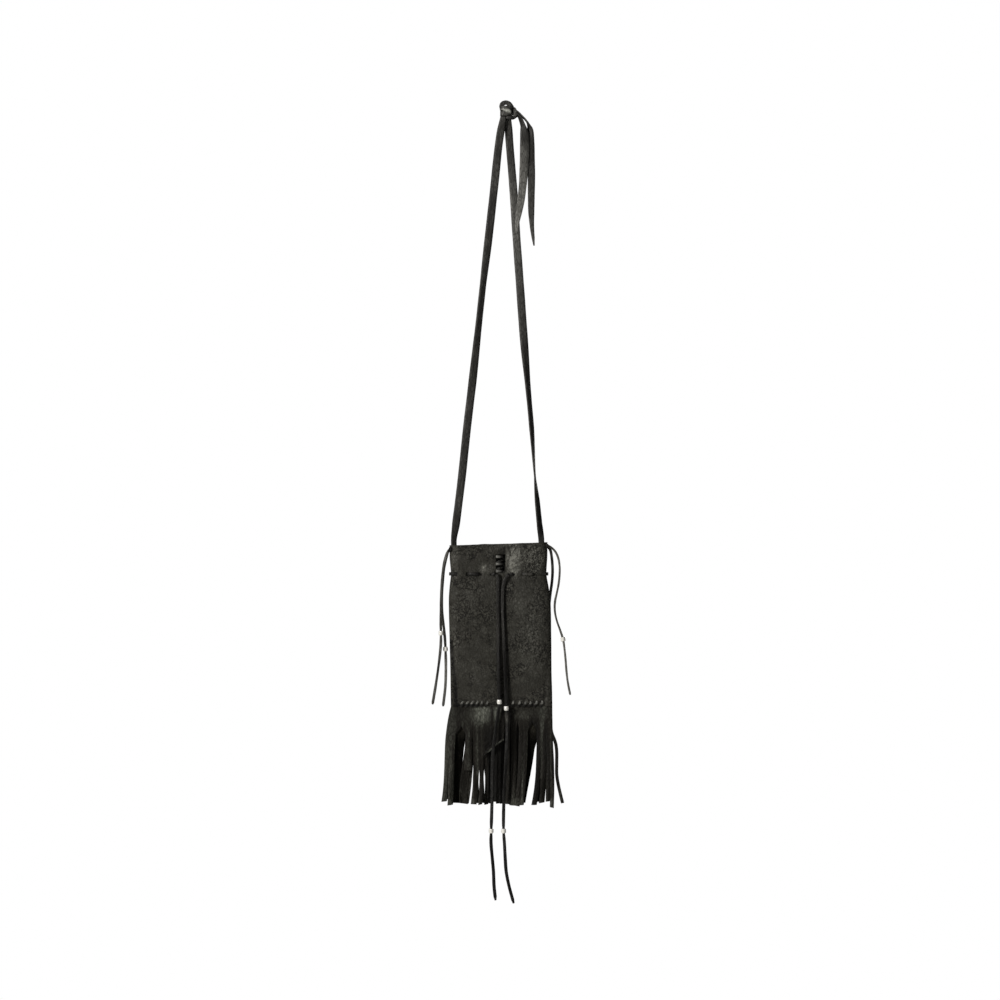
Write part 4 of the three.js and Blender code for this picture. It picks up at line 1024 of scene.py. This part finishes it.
class NECKPOUCH_OT_laces(bpy.types.Operator):
    """Hangs the six free laces with their beads"""
    bl_idname = "neckpouch.laces"
    bl_label = "Laces and beads"

    def bead(self, name, node, place, along, sizes):
        """A glazed bead: half of its section spun round the lace."""
        radius, half = sizes.bead_radius, sizes.bead_length / 2
        side = [(radius * out, half * up) for out, up in BEAD_SECTION]
        profile = [(r, -h) for r, h in side] + [(r, h) for r, h in reversed(side)]
        bm = bmesh.new()
        verts = [bm.verts.new((r, 0, h)) for r, h in profile]
        edges = [bm.edges.new((a, b)) for a, b in zip(verts, verts[1:] + verts[:1])]
        bmesh.ops.spin(bm, geom=verts + edges, cent=(0, 0, 0), axis=(0, 0, 1), angle=2 * math.pi,
                       steps=BEAD_STEPS, use_merge=True)
        bmesh.ops.remove_doubles(bm, verts=bm.verts, dist=1e-6)
        turned = along.to_track_quat("Z", "Y").to_matrix().to_4x4()
        bmesh.ops.transform(bm, matrix=Matrix.Translation(place) @ turned, verts=bm.verts)
        piece = finish_piece(bm, name, [bead_glaze()], "bead", node)
        rounding = piece.modifiers.new("rounding", "SUBSURF")
        rounding.levels = rounding.render_levels = 1
        return piece

    def execute(self, context):
        sizes = context.scene.pouch_sizes
        for seed, (node, lace) in enumerate(LACES.items()):
            path = smooth_route(lace["tie"] + lace["points"], LACE_STEP)
            wide = (sizes.tail_lace_width if "drawstring" in node else sizes.side_lace_width) / MM
            wide *= lace.get("slim", 1.0)
            thick = sizes.lace_thickness / MM
            heights = [place.z for place in path]
            base, swing, waves = lace["turn"]

            def width_at(share):
                z = at_share(heights, share)
                pinched = max(bell(z, bead, BEAD_PINCH) for bead in lace["beads"].values())
                cut = 1 + 0.07 * ripple(z / 9, 0, seed)
                return mix(wide * cut, BEAD_BORE, pinched) * mix(0.55, 1, ease(1 - share, 0, 0.012))

            def turn_at(share):
                return ease(share, 0, 0.12) * (base + swing * math.sin(2 * math.pi * waves * share + seed))

            bm = strip(path, width_at, thick, turn_at)
            # Painted light on the side laces; the drawstring tails darken downwards
            mark_light_and_tone(bm, lambda place: lace_light_and_tone(node, place.z))
            material = side_lace_leather() if node in SIDE_LACE_LIGHT else lace_leather()
            piece = finish_piece(bm, node + "_strip", [material], "lace_leather", node)
            for bead_node, height in lace["beads"].items():
                at = min(range(1, len(path) - 1), key=lambda i: abs(path[i].z - height))
                place = Vector(path[at])
                along = (path[at - 1] - path[at + 1]).normalized()
                place += along * ((height - place.z) / along.z)
                self.bead(bead_node + "_glazed", bead_node, place * MM, along, sizes)
        return {"FINISHED"}


class NECKPOUCH_OT_strap_tails(bpy.types.Operator):
    """Hangs the strap's two free ends from the knot"""
    bl_idname = "neckpouch.strap_tails"
    bl_label = "Strap ends"

    def execute(self, context):
        sizes = context.scene.pouch_sizes
        for seed, (node, rows) in enumerate(STRAP_TAILS.items()):
            path = smooth_route([row[:3] for row in rows], LACE_STEP)
            turns = sorted((row[2], row[3]) for row in rows)
            widths = sorted((row[2], row[4]) for row in rows)
            heights = [place.z for place in path]

            def width_at(share):
                cut = 1 + 0.04 * ripple(share * 9, 0, 20 + seed)
                return table_at(widths, at_share(heights, share)) * cut

            def thick_at(share):
                return mix(STRAP_TIP_THICK, sizes.strap_end_thickness / MM, ease(1 - share, 0, 0.2))

            def turn_at(share):
                return table_at(turns, at_share(heights, share))

            bm = strip(path, width_at, thick_at, turn_at, cup=-0.01)
            # Painted light and shade along the free end, from its table
            mark_light_and_tone(bm, lambda place: table_at(STRAP_TAIL_LIGHT_AND_SHADE[node], place.z))
            piece = finish_piece(bm, node + "_strip", [strap_leather()], "strap_leather", node)
        return {"FINISHED"}


class NECKPOUCH_OT_strap(bpy.types.Operator):
    """Makes the strap's two legs and the knots that hold them in the pouch's corners"""
    bl_idname = "neckpouch.strap"
    bl_label = "Strap"

    def execute(self, context):
        sizes = context.scene.pouch_sizes
        wide, thick = sizes.strap_width / MM, sizes.strap_thickness / MM
        for seed, (node, leg) in enumerate(STRAP_LEGS.items()):
            low, high = leg["route"][1][1], leg["route"][-1][1]
            points = [(x, leg["head_y"] * max(z - low, 0) / (high - low), z) for x, z in leg["route"]]
            path = smooth_route(points, STRAP_STEP)
            heights = [place.z for place in path]

            def width_at(share):
                z = at_share(heights, share)
                squeeze = ease(min(z - low, high - z), 0, STRAP_SQUEEZE)
                cut = 1 + 0.035 * ripple(z / 30, 0, 30 + seed)
                return wide * cut * mix(STRAP_END_SHARE, 1, squeeze)

            def turn_at(share):
                z = at_share(heights, share)
                return table_at(leg["turns"], z) + 5 * ripple(z / 60, 0, 33 + seed)

            bm = strip(path, width_at, thick, turn_at, cup=0.05)
            # Painted light along the leg, from its table
            mark_light_and_tone(bm, lambda place: table_at(STRAP_LIGHT[node], place.z))
            finish_piece(bm, node + "_leg", [strap_leather()], "strap_leather", node)
            knot = Vector(leg["knot"])
            side = leg["side"]
            coil = []
            for i in range(COIL_STOPS + 1):
                share = i / COIL_STOPS
                angle = 2 * math.pi * COIL_TURNS * share
                along = side * mix(-COIL_REACH, COIL_REACH, share)
                rise = COIL_RADIUS * math.cos(angle) - COIL_SAG * share
                coil.append(knot + Vector((along, -COIL_RADIUS * math.sin(angle), rise)))
            path = smooth_route(coil, COIL_STEP)
            bm = strip(path, COIL_WIDTH, COIL_THICK, faces=Vector((side, 0.05, 0.3)).normalized())
            finish_piece(bm, node.replace("strap", "corner_knot"), [lace_leather()], "lace_leather")
        return {"FINISHED"}


class NECKPOUCH_OT_knot(bpy.types.Operator):
    """Ties the knot at the top, with the eye that the pouch hangs by"""
    bl_idname = "neckpouch.knot"
    bl_label = "Knot"

    # Each turn of the knot: places along it, widths along it, thickness, and its turn at both ends
    turns = [
        {"points": [(-3.0, 2.2, -9.6), (-3.5, 1.0, -6.2), (-4.2, -0.4, -3.0), (-4.7, -1.0, 0.0),
                    (-3.8, -1.3, 2.3), (-1.3, -1.5, 3.5), (1.6, -1.5, 3.3), (3.7, -1.2, 1.6),
                    (5.0, -0.7, -0.8), (6.6, 0.2, -3.8), (7.2, 1.4, -7.0), (6.2, 2.6, -9.6)],
         "widths": [6.0, 6.0, 6.0, 6.2, 5.6, 5.1, 5.2, 6.4, 7.2, 6.4, 5.6, 5.0],
         "thick": 1.9, "turn": (0, 0)},
        {"points": [(-6.2, -0.6, -1.4), (-3.4, -2.1, -1.5), (0.4, -2.5, -1.6), (4.2, -2.2, -1.8),
                    (7.2, -1.2, -2.4)],
         "widths": [2.4, 2.8, 3.0, 3.0, 3.0], "thick": 1.3, "turn": (0, 0)},
        {"points": [(-3.4, 3.4, -8.6), (-5.4, 1.8, -9.0), (-5.8, -1.6, -9.3), (-3.8, -4.2, -9.2),
                    (0.4, -4.9, -8.9), (4.6, -4.4, -8.5), (6.8, -2.6, -8.2), (7.4, 0.6, -8.2),
                    (5.6, 3.4, -8.4), (1.0, 4.4, -9.0)],
         "widths": [5.4, 5.8, 6.0, 6.0, 5.8, 5.6, 5.4, 5.2, 5.4, 5.4], "thick": 1.7, "turn": (0, 0)},
        {"points": [(6.6, -1.4, -14.0), (9.2, -2.8, -13.4), (10.9, -3.6, -10.8), (10.7, -4.0, -7.4),
                    (10.0, -3.0, -4.4), (8.8, -1.2, -3.0), (7.4, 0.8, -2.4)],
         "widths": [4.2, 4.4, 4.2, 4.0, 3.8, 3.4, 3.0], "thick": 1.8, "turn": (0, 0)},
        {"points": [(0.6, -3.0, -13.2), (3.8, -3.6, -14.0), (7.4, -3.2, -13.9), (10.4, -1.8, -12.2),
                    (12.6, -1.0, -10.0)],
         "widths": [3.4, 4.4, 4.6, 4.4, 5.0], "thick": 1.8, "turn": (0, 20)},
        {"points": [(-6.0, -0.8, -3.2), (-3.2, -2.9, -3.9), (0.6, -3.6, -4.6), (4.2, -3.4, -5.3),
                    (7.0, -1.6, -5.8)],
         "widths": [2.8, 3.6, 3.9, 3.9, 3.4], "thick": 1.4, "turn": (0, 0)},
    ]
    # The turn that goes round both legs, and the step along every turn
    wrap = 2
    step = 0.9

    def painted_light_and_shade(self, place):
        """Painted shade in the folds, under the right lobe and at the lobe's top; a painted highlight along
        the band's proud turn, and paler where the ends leave.
        """
        crease = bell(place.x, 8.1, 0.9) * ease(place.z, -11.6, -10.4) * (1 - ease(place.z, -3.2, -2.2))
        under = (1 - ease(place.z, -13.4, -12.2)) * ease(place.x, 1, 4)
        highlight = bell(place.z, -5.4 - 0.28 * place.x, 1.3) * (1 - ease(place.x, 4.4, 6.2))
        highlight *= ease(-place.y, 1.6, 2.6) * mix(0.3, 1, ease(place.x, -5, 2))
        leaving = bell(place.x, 11.4, 2.2) * bell(place.z, -6.4, 3.4)
        spot = bell(place.x, -0.9, 2.2) * bell(place.z, 3.0, 1.2)
        return 1.2 * highlight + 0.25 * leaving - 0.95 * max(crease, 0.8 * under, 0.6 * spot)

    def execute(self, context):
        bm = bmesh.new()
        for number, row in enumerate(self.turns):
            route = smooth_route(row["points"], self.step)
            last = len(row["widths"]) - 1
            widths = [(i / last, width) for i, width in enumerate(row["widths"])]

            def width_at(share):
                return table_at(widths, share)

            def turn_at(share):
                return mix(*row["turn"], share)

            def outward(share):
                place = at_share(route, share)
                return Vector((place.x, place.y * 1.4, 0)).normalized()

            faces = outward if number == self.wrap else FRONT
            join(bm, strip(route, width_at, row["thick"], turn_at, faces, cup=-0.1))
        # Painted light and shade on the knot's turns
        mark_light_and_tone(bm, self.painted_light_and_shade)
        finish_piece(bm, "strap_knot_turns", [knot_leather()], "strap_leather", "strap_knot")
        return {"FINISHED"}


class NECKPOUCH_OT_body(bpy.types.Operator):
    """Makes the pouch's leather wall with its folds, slits and creases"""
    bl_idname = "neckpouch.body"
    bl_label = "Pouch"

    def execute(self, context):
        sizes = context.scene.pouch_sizes
        angles, whole, _ = ring_angles(DRAW_DROP, WALL_COLUMNS)
        drops = wall_drops()

        def point_at(column, row):
            angle, drop = angles[column], drops[row]
            plain = plain_wall(angle, drop, 0)
            front = ease(-math.sin(angle), -0.25, 0.25)
            crease = mix(crumple(plain.x, drop, 0), crumple(plain.x, drop, 1), front)
            crease *= ease(abs(math.sin(angle)), *SIDE_FADE) * 0.85 + 0.15
            place = plain_wall(angle, drop, crease)
            place.z += (0.5 + 0.5 * ripple(plain.x / 13, front * 3, 15)) * (1 - ease(drop, 0, 12))
            return place * MM

        # Painted light in patches and painted shade along lines of the front wall
        def light_and_tone_marked(place):
            if place.y > 0:
                return 0.0
            drop = RIM_Z - place.z
            pale = patches(PAINTED_LIGHT_PATCHES, place.x, drop)
            pale *= 0.7 + 0.9 * ripple(place.x / 2.2 + drop / 5, drop / 3.2, 17)
            painted_shade = max(amount * bell(from_line(place.x, drop, start, stop)[0], 0, half)
                       for start, stop, amount, half in PAINTED_SHADE_LINES)
            return max(pale, 0.0) * (1 - painted_shade) - painted_shade

        bm = skin(WALL_COLUMNS, len(drops), point_at)
        mark_light_and_tone(bm, light_and_tone_marked)
        column_of = bm.verts.layers.int["column"]
        slits = draw_slits(whole)
        holes = []
        for face in bm.faces:
            middle = face.calc_center_median() / MM
            left, right, top, bottom = COLLAR_HOLE
            if middle.y < 0 and left < middle.x < right and top < RIM_Z - middle.z < bottom:
                holes.append(face)
            if abs(middle.z - (RIM_Z - DRAW_DROP)) > SLIT_HOLE[1]:
                continue
            columns = sorted(vert[column_of] for vert in face.verts)
            if columns[-1] - columns[0] > 1:
                continue
            run = whole * (columns[0] + 0.5) / WALL_COLUMNS
            if any(abs(run - slit) < SLIT_HOLE[0] for slit in slits):
                holes.append(face)
        bmesh.ops.delete(bm, geom=list(set(holes)), context="FACES")
        piece = finish_piece(bm, "pouch_wall", [pouch_leather()], "body_leather", "pouch_body")
        wall = piece.modifiers.new("wall", "SOLIDIFY")
        wall.thickness = sizes.wall
        wall.offset = -1
        wall.use_even_offset = True
        soft_edge(piece, WALL_EDGE)
        return {"FINISHED"}


class NECKPOUCH_OT_drawstring(bpy.types.Operator):
    """Weaves the drawstring through the collar and winds the collar's lacing"""
    bl_idname = "neckpouch.drawstring"
    bl_label = "Drawstring"

    def execute(self, context):
        sizes = context.scene.pouch_sizes
        thick = sizes.lace_thickness / MM
        wall = sizes.wall / MM
        _, whole, table = ring_angles(DRAW_DROP, 8)
        slits = draw_slits(whole)
        outside = thick / 2 + WEAVE_CLEAR
        inside = -wall - thick / 2 - WEAVE_CLEAR
        first, last = slits[0] - WEAVE_ENDS, slits[-1] + WEAVE_ENDS
        places, faces = [], []
        for i in range(WEAVE_STOPS + 1):
            run = mix(first, last, i / WEAVE_STOPS)
            passed = 0.0
            for j, slit in enumerate(slits):
                passed += (1 if j % 2 == 0 else -1) * ease(run, slit - SLIT_RUN, slit + SLIT_RUN)
            angle = table_at(table, run)
            bulge = crumple(plain_wall(angle, DRAW_DROP, 0).x, DRAW_DROP, 1 if math.sin(angle) < 0 else 0)
            bulge *= ease(abs(math.sin(angle)), *SIDE_FADE)
            places.append(plain_wall(angle, DRAW_DROP, mix(outside, inside, passed) + bulge))
            beyond = plain_wall(angle, DRAW_DROP, 3) - plain_wall(angle, DRAW_DROP, 0)
            faces.append(Vector((beyond.x, beyond.y, 0)).normalized())
        path = smooth_route(places, WEAVE_STEP)

        def width_at(share):
            return sizes.tail_lace_width / MM * (1 + 0.05 * ripple(share * 60, 0, 41))

        def turn_at(share):
            return 6 * ripple(share * 30, 0, 42)

        bm = strip(path, width_at, thick, turn_at, lambda share: at_share(faces, share))
        # The pass right of the middle is painted paler
        mark_light_and_tone(bm, lambda place: 0.9 * bell(place.x, 26, 6) if place.y < 0 else 0.0)
        finish_piece(bm, "drawstring_lace", [lace_leather()], "lace_leather", "drawstring")

        places = []
        for drop in COLLAR_RUNGS:
            places += [front_point(across, drop + fall, out) for across, fall, out in COLLAR_TURN]
        path = smooth_route(places, COLLAR_STEP)

        def outward(share):
            place = at_share(path, share)
            middle = front_point(COLLAR_MIDDLE, RIM_Z - place.z, COLLAR_INSIDE)
            return Vector(((place.x - middle.x) / 3, place.y - middle.y, 0)).normalized()

        def lace_width_at(share):
            return COLLAR_WIDTH + 0.3 * ripple(share * 17, 0, 43)

        bm = strip(path, lace_width_at, COLLAR_THICK, faces=outward, cup=-0.06)
        # Painted light on the rungs' left parts, and painted shade at their right ends by the slit
        mark_light_and_tone(bm, lambda place: 0.55 * (1 - ease(place.x, -9.6, -5.5)) - 0.6 * ease(place.x, -5, -3))
        finish_piece(bm, "collar_lace", [strap_leather()], "lace_leather", "collar_lacing")
        return {"FINISHED"}


class NECKPOUCH_OT_fringe(bpy.types.Operator):
    """Cuts the two fringe layers into strips and lets each strip hang its own way"""
    bl_idname = "neckpouch.fringe"
    bl_label = "Fringe"

    def centre(self, row, down):
        """Smooth curve through a strip's four even places."""
        at = 3 * min(down / row[3], 1)
        first, second, third, fourth = row[0]
        return (first * (at - 1) * (at - 2) * (at - 3) / -6 + second * at * (at - 2) * (at - 3) / 2
                + third * at * (at - 1) * (at - 3) / -2 + fourth * at * (at - 1) * (at - 2) / 6)

    def edge(self, rows, index, side, down):
        """Place of a strip's edge; above the cut it is the line shared with its neighbour."""
        row = rows[index]
        own = self.centre(row, down) + side * row[1] / 2
        beside = index + side
        if not 0 <= beside < len(rows):
            return own
        other = rows[beside]
        gap = abs(other[0][0] - side * other[1] / 2 - (row[0][0] + side * row[1] / 2))
        if gap > STRIP_GAP:
            return own
        shared = (own + self.centre(other, down) - side * other[1] / 2) / 2
        root = min(row[2], other[2])
        return mix(shared, own, ease(down, root, root + 8 + 1.5 * min(gap, 2)))

    def downs(self, reach):
        """Lengths down of a strip's rows: those of the panel, then its own."""
        rows = [PANEL_STEP * i for i in range(-2, round(min(PANEL_REACH, reach - 20) / PANEL_STEP) + 1)]
        return rows + [mix(rows[-1], reach, (i + 1) / TAIL_ROWS) for i in range(TAIL_ROWS)]

    def hang(self, bm, rows, index, layer, rand):
        """One strip from the seam to its tip; layer is -1 for the front layer and 1 for the back."""
        row = rows[index]
        _, _, root, reach, out = row
        downs = self.downs(reach)
        twist = rand.uniform(*STRIP_TWIST) * rand.choice((-1, 1))
        phase, cup = rand.uniform(0, 6.3), -layer * rand.uniform(*STRIP_CUP)
        slant = rand.uniform(-STRIP_SLANT, STRIP_SLANT)
        grid = bmesh.ops.create_grid(bm, x_segments=STRIP_COLUMNS, y_segments=len(downs) - 1, size=0.5)
        for vert in grid["verts"]:
            u = vert.co.x + 0.5
            down = downs[round((0.5 - vert.co.y) * (len(downs) - 1))]
            left = self.edge(rows, index, -1, max(down, 0))
            right = self.edge(rows, index, 1, max(down, 0))
            free = max(down - root, 0) / (reach - root)
            turn = math.radians(twist) * ease(free, 0, 0.5) * math.sin(phase + 4.2 * free)
            middle, half = (left + right) / 2, (right - left) / 2
            a = 2 * u - 1
            x = middle + half * a * math.cos(turn)
            y = layer * LAYER_Y + layer * out * free ** 1.4 + half * a * math.sin(turn)
            y += cup * (a * a - 0.4) * ease(free, 0, 0.3)
            y += 0.25 * layer * ripple(x / 7, down / 12, 50 + layer)
            low = down + slant * a * 0.5 * free ** 4
            vert.co = Vector((x, y, SEAM_Z - low)) * MM
        # Painted shade: back strips out of the light take the near-black flesh side
        if layer > 0 and index not in LIT_STRIPS:
            for face in {face for vert in grid["verts"] for face in vert.link_faces}:
                face.material_index = 1

    def tongue(self, bm, rows, index):
        """The uncut part of the front layer, whose slanted lower edge curls up to the front."""
        downs = [PANEL_STEP * i for i in range(-2, 12)]
        count = len(downs) + TONGUE_LOW_ROWS
        grid = bmesh.ops.create_grid(bm, x_segments=TONGUE_COLUMNS, y_segments=count - 1, size=0.5)
        for vert in grid["verts"]:
            u = vert.co.x + 0.5
            at = round((0.5 - vert.co.y) * (count - 1))
            reach = mix(TONGUE["left_reach"], TONGUE["right_reach"], ease(u, 0, 1) * 0.4 + u * 0.6)
            low = at - len(downs) + 1
            down = downs[at] if low < 1 else mix(downs[-1], reach, low / TONGUE_LOW_ROWS)
            left = self.edge(rows, index, 1, max(down, 0))
            right = TONGUE["right"] - 0.06 * max(down - 15, 0)
            x = mix(left, right, u)
            bulge = max(down, 0) / TONGUE["bulge_down"]
            y = -LAYER_Y - TONGUE["bulge"] * bulge * math.exp(1 - bulge) + 0.4 * ripple(x / 8, down / 12, 61)
            radius = TONGUE["curl_radius"]
            starts = reach - TONGUE["curl"]
            beyond = max(down - starts, 0)
            lifted = ease(u, 0, 0.35)
            curl = lifted * beyond / radius
            if curl > 0:
                y -= radius * (1 - math.cos(curl))
                down = starts + radius * math.sin(curl) * lifted + beyond * (1 - lifted)
            vert.co = Vector((x, y, SEAM_Z - down)) * MM

    def lone(self, bm):
        """The strip that has swung away from the right edge."""
        route = smooth_route([(x, -LAYER_Y - 0.3, SEAM_Z - down) for x, down in LONE_STRIP], LONE_STEP)
        last = len(route) - 1
        grid = bmesh.ops.create_grid(bm, x_segments=STRIP_COLUMNS, y_segments=last, size=0.5)
        for vert in grid["verts"]:
            at = round((0.5 - vert.co.y) * last)
            along = (route[max(at - 1, 0)] - route[min(at + 1, last)]).normalized()
            across = along.cross(FRONT).normalized() * LONE_WIDTH
            vert.co = (route[at] + across * vert.co.x) * MM

    def light_and_tone(self, place):
        """Painted light at the left, over the tongue's bulge and along its curled edge, and paler at the
        tips;
        painted shade in folds and slits and beside the tails, with bolder streaks in the right half."""
        x, down = place.x, SEAM_Z - place.z
        mark = patches(FRINGE_LIGHT_AND_SHADE, x, down)
        mark += 0.2 * (1 - ease(x, -62, -54)) + 0.2 * ease(down, 103, 110)
        right = ease(x, 4, 16)
        mark += ((0.45 + 0.25 * right) * ripple(x / 3.4, down / 90, 68) - 0.14 * right) * ease(down, 8, 26)
        tongue = bell(x, -27, 10) * bell(down, 8, 10)
        curled = ease(-place.y, 3.0, 4.6) * ease(down, 34, 40) * (1 - ease(down, 62, 66))
        mark += 1.3 * tongue * (0.8 + 0.6 * ripple(x / 3, down / 3, 66)) + 0.45 * curled
        mark += 0.3 * bell(x, 42, 5) * (1 - ease(down, 22, 40))
        mark -= 0.8 * bell(x, 31, 4.5) * ease(down, 12, 20)
        return mark - 0.7 * bell(x, -14, 11) * ease(down, 20, 32) * (1 - curled)

    def painted_light_and_shade(self, place):
        """Painted shade behind the tongue; in the two wide gaps beside it a painted dim light that fades
        downwards.
        """
        gaps = ease(place.x, -62, -59) * (1 - ease(place.x, -49, -46))
        gaps += ease(place.x, 20, 23) * (1 - ease(place.x, 33, 36))
        dim = 0.5 * gaps * (1 - ease(SEAM_Z - place.z, 22, 43))
        return dim - 0.8 * ease(place.x, -23, -19) * (1 - ease(place.x, 17, 20))

    def layer(self, context, name, rows, layer, node):
        """One layer of the fringe, with its strips joined above their cuts."""
        sizes = context.scene.pouch_sizes
        rand = random.Random(FRONT_SEED if layer < 0 else BACK_SEED)
        bm = bmesh.new()
        for index in range(len(rows)):
            self.hang(bm, rows, index, layer, rand)
        if layer < 0:
            self.tongue(bm, rows, TONGUE["strip"])
            self.lone(bm)
        bmesh.ops.remove_doubles(bm, verts=bm.verts, dist=MERGE)
        mark_light_and_tone(bm, self.light_and_tone if layer < 0 else self.painted_light_and_shade)
        # Faces stand to the front: the grain side or, on strips that stay in the shade, the near-black flesh
        # side as painted shade
        materials = [fringe_leather(), shade_flesh_side(), fringe_rear(), fringe_rear()]
        piece = finish_piece(bm, name, materials, "fringe_leather", node, outward=False)
        stock = piece.modifiers.new("stock", "SOLIDIFY")
        stock.thickness = sizes.fringe_thickness
        stock.offset = 0
        stock.material_offset = 2
        soft_edge(piece, FRINGE_EDGE)
        return piece

    def execute(self, context):
        front = self.layer(context, "fringe_front_layer", FRONT_STRIPS, -1, "fringe_front")
        back = self.layer(context, "fringe_back_layer", BACK_STRIPS, 1, "fringe_back")
        return {"FINISHED"}


class NECKPOUCH_OT_stitching(bpy.types.Operator):
    """Sews the fringe to the pouch with short slanted stitches of lace"""
    bl_idname = "neckpouch.stitching"
    bl_label = "Stitching"

    def execute(self, context):
        bm = bmesh.new()
        rand = random.Random(STITCH_SEED)
        for place in STITCHES:
            for side in (-1, 1):
                lean = STITCH_LEAN + rand.uniform(-0.4, 0.4)
                top = STITCH_TOP + rand.uniform(-0.5, 0.5)
                path = []
                for across, fall, out in STITCH_ROUTE:
                    point = front_point(place + across * lean, top + fall, out)
                    path.append(Vector((point.x, -side * point.y, point.z)))
                for across, out, fall in STITCH_END:
                    path.append(Vector((place + across * lean, side * out, SEAM_Z - fall)))
                route = smooth_route(path, STITCH_STEP)
                faces = Vector((0, side, -0.2)).normalized()
                join(bm, strip(route, STITCH_WIDTH, STITCH_THICK, faces=faces, cup=-0.08))
        # Painted light on the stitches, and painted shade where they pass under the wall's bottom edge
        mark_light_and_tone(bm, lambda place: 0.45 - 0.95 * ease(RIM_Z - place.z, 181.6, 184.2))
        finish_piece(bm, "seam_stitches", [strap_leather()], "lace_leather")
        return {"FINISHED"}


class NECKPOUCH_PT_panel(bpy.types.Panel):
    """Lists the pouch's pieces and sizes"""
    bl_label = "Neck Pouch"
    bl_idname = "NECKPOUCH_PT_panel"
    bl_space_type = "VIEW_3D"
    bl_region_type = "UI"
    bl_category = "Neck Pouch"

    def draw(self, context):
        for group in (context.scene.pouch_sizes, context.scene.pouch_finish, context.scene.pouch_stage):
            box = self.layout.box()
            for name in group.__annotations__:
                box.prop(group, name)
        for operator in OPERATORS:
            self.layout.operator(operator.bl_idname)


OPERATORS = [
    NECKPOUCH_OT_stage,
    NECKPOUCH_OT_laces,
    NECKPOUCH_OT_strap_tails,
    NECKPOUCH_OT_strap,
    NECKPOUCH_OT_knot,
    NECKPOUCH_OT_body,
    NECKPOUCH_OT_drawstring,
    NECKPOUCH_OT_fringe,
    NECKPOUCH_OT_stitching,
]
CLASSES = [PouchSizes, PouchFinish, PouchStage, *OPERATORS, NECKPOUCH_PT_panel]


def register():
    for cls in CLASSES:
        bpy.utils.register_class(cls)
    bpy.types.Scene.pouch_sizes = bpy.props.PointerProperty(type=PouchSizes)
    bpy.types.Scene.pouch_finish = bpy.props.PointerProperty(type=PouchFinish)
    bpy.types.Scene.pouch_stage = bpy.props.PointerProperty(type=PouchStage)


def unregister():
    del bpy.types.Scene.pouch_stage
    del bpy.types.Scene.pouch_finish
    del bpy.types.Scene.pouch_sizes
    for cls in reversed(CLASSES):
        bpy.utils.unregister_class(cls)


def main():
    register()
    bpy.ops.neckpouch.stage()
    bpy.ops.neckpouch.laces()
    bpy.ops.neckpouch.strap_tails()
    bpy.ops.neckpouch.strap()
    bpy.ops.neckpouch.knot()
    bpy.ops.neckpouch.body()
    bpy.ops.neckpouch.drawstring()
    bpy.ops.neckpouch.fringe()
    bpy.ops.neckpouch.stitching()


if __name__ == "__main__":
    main()
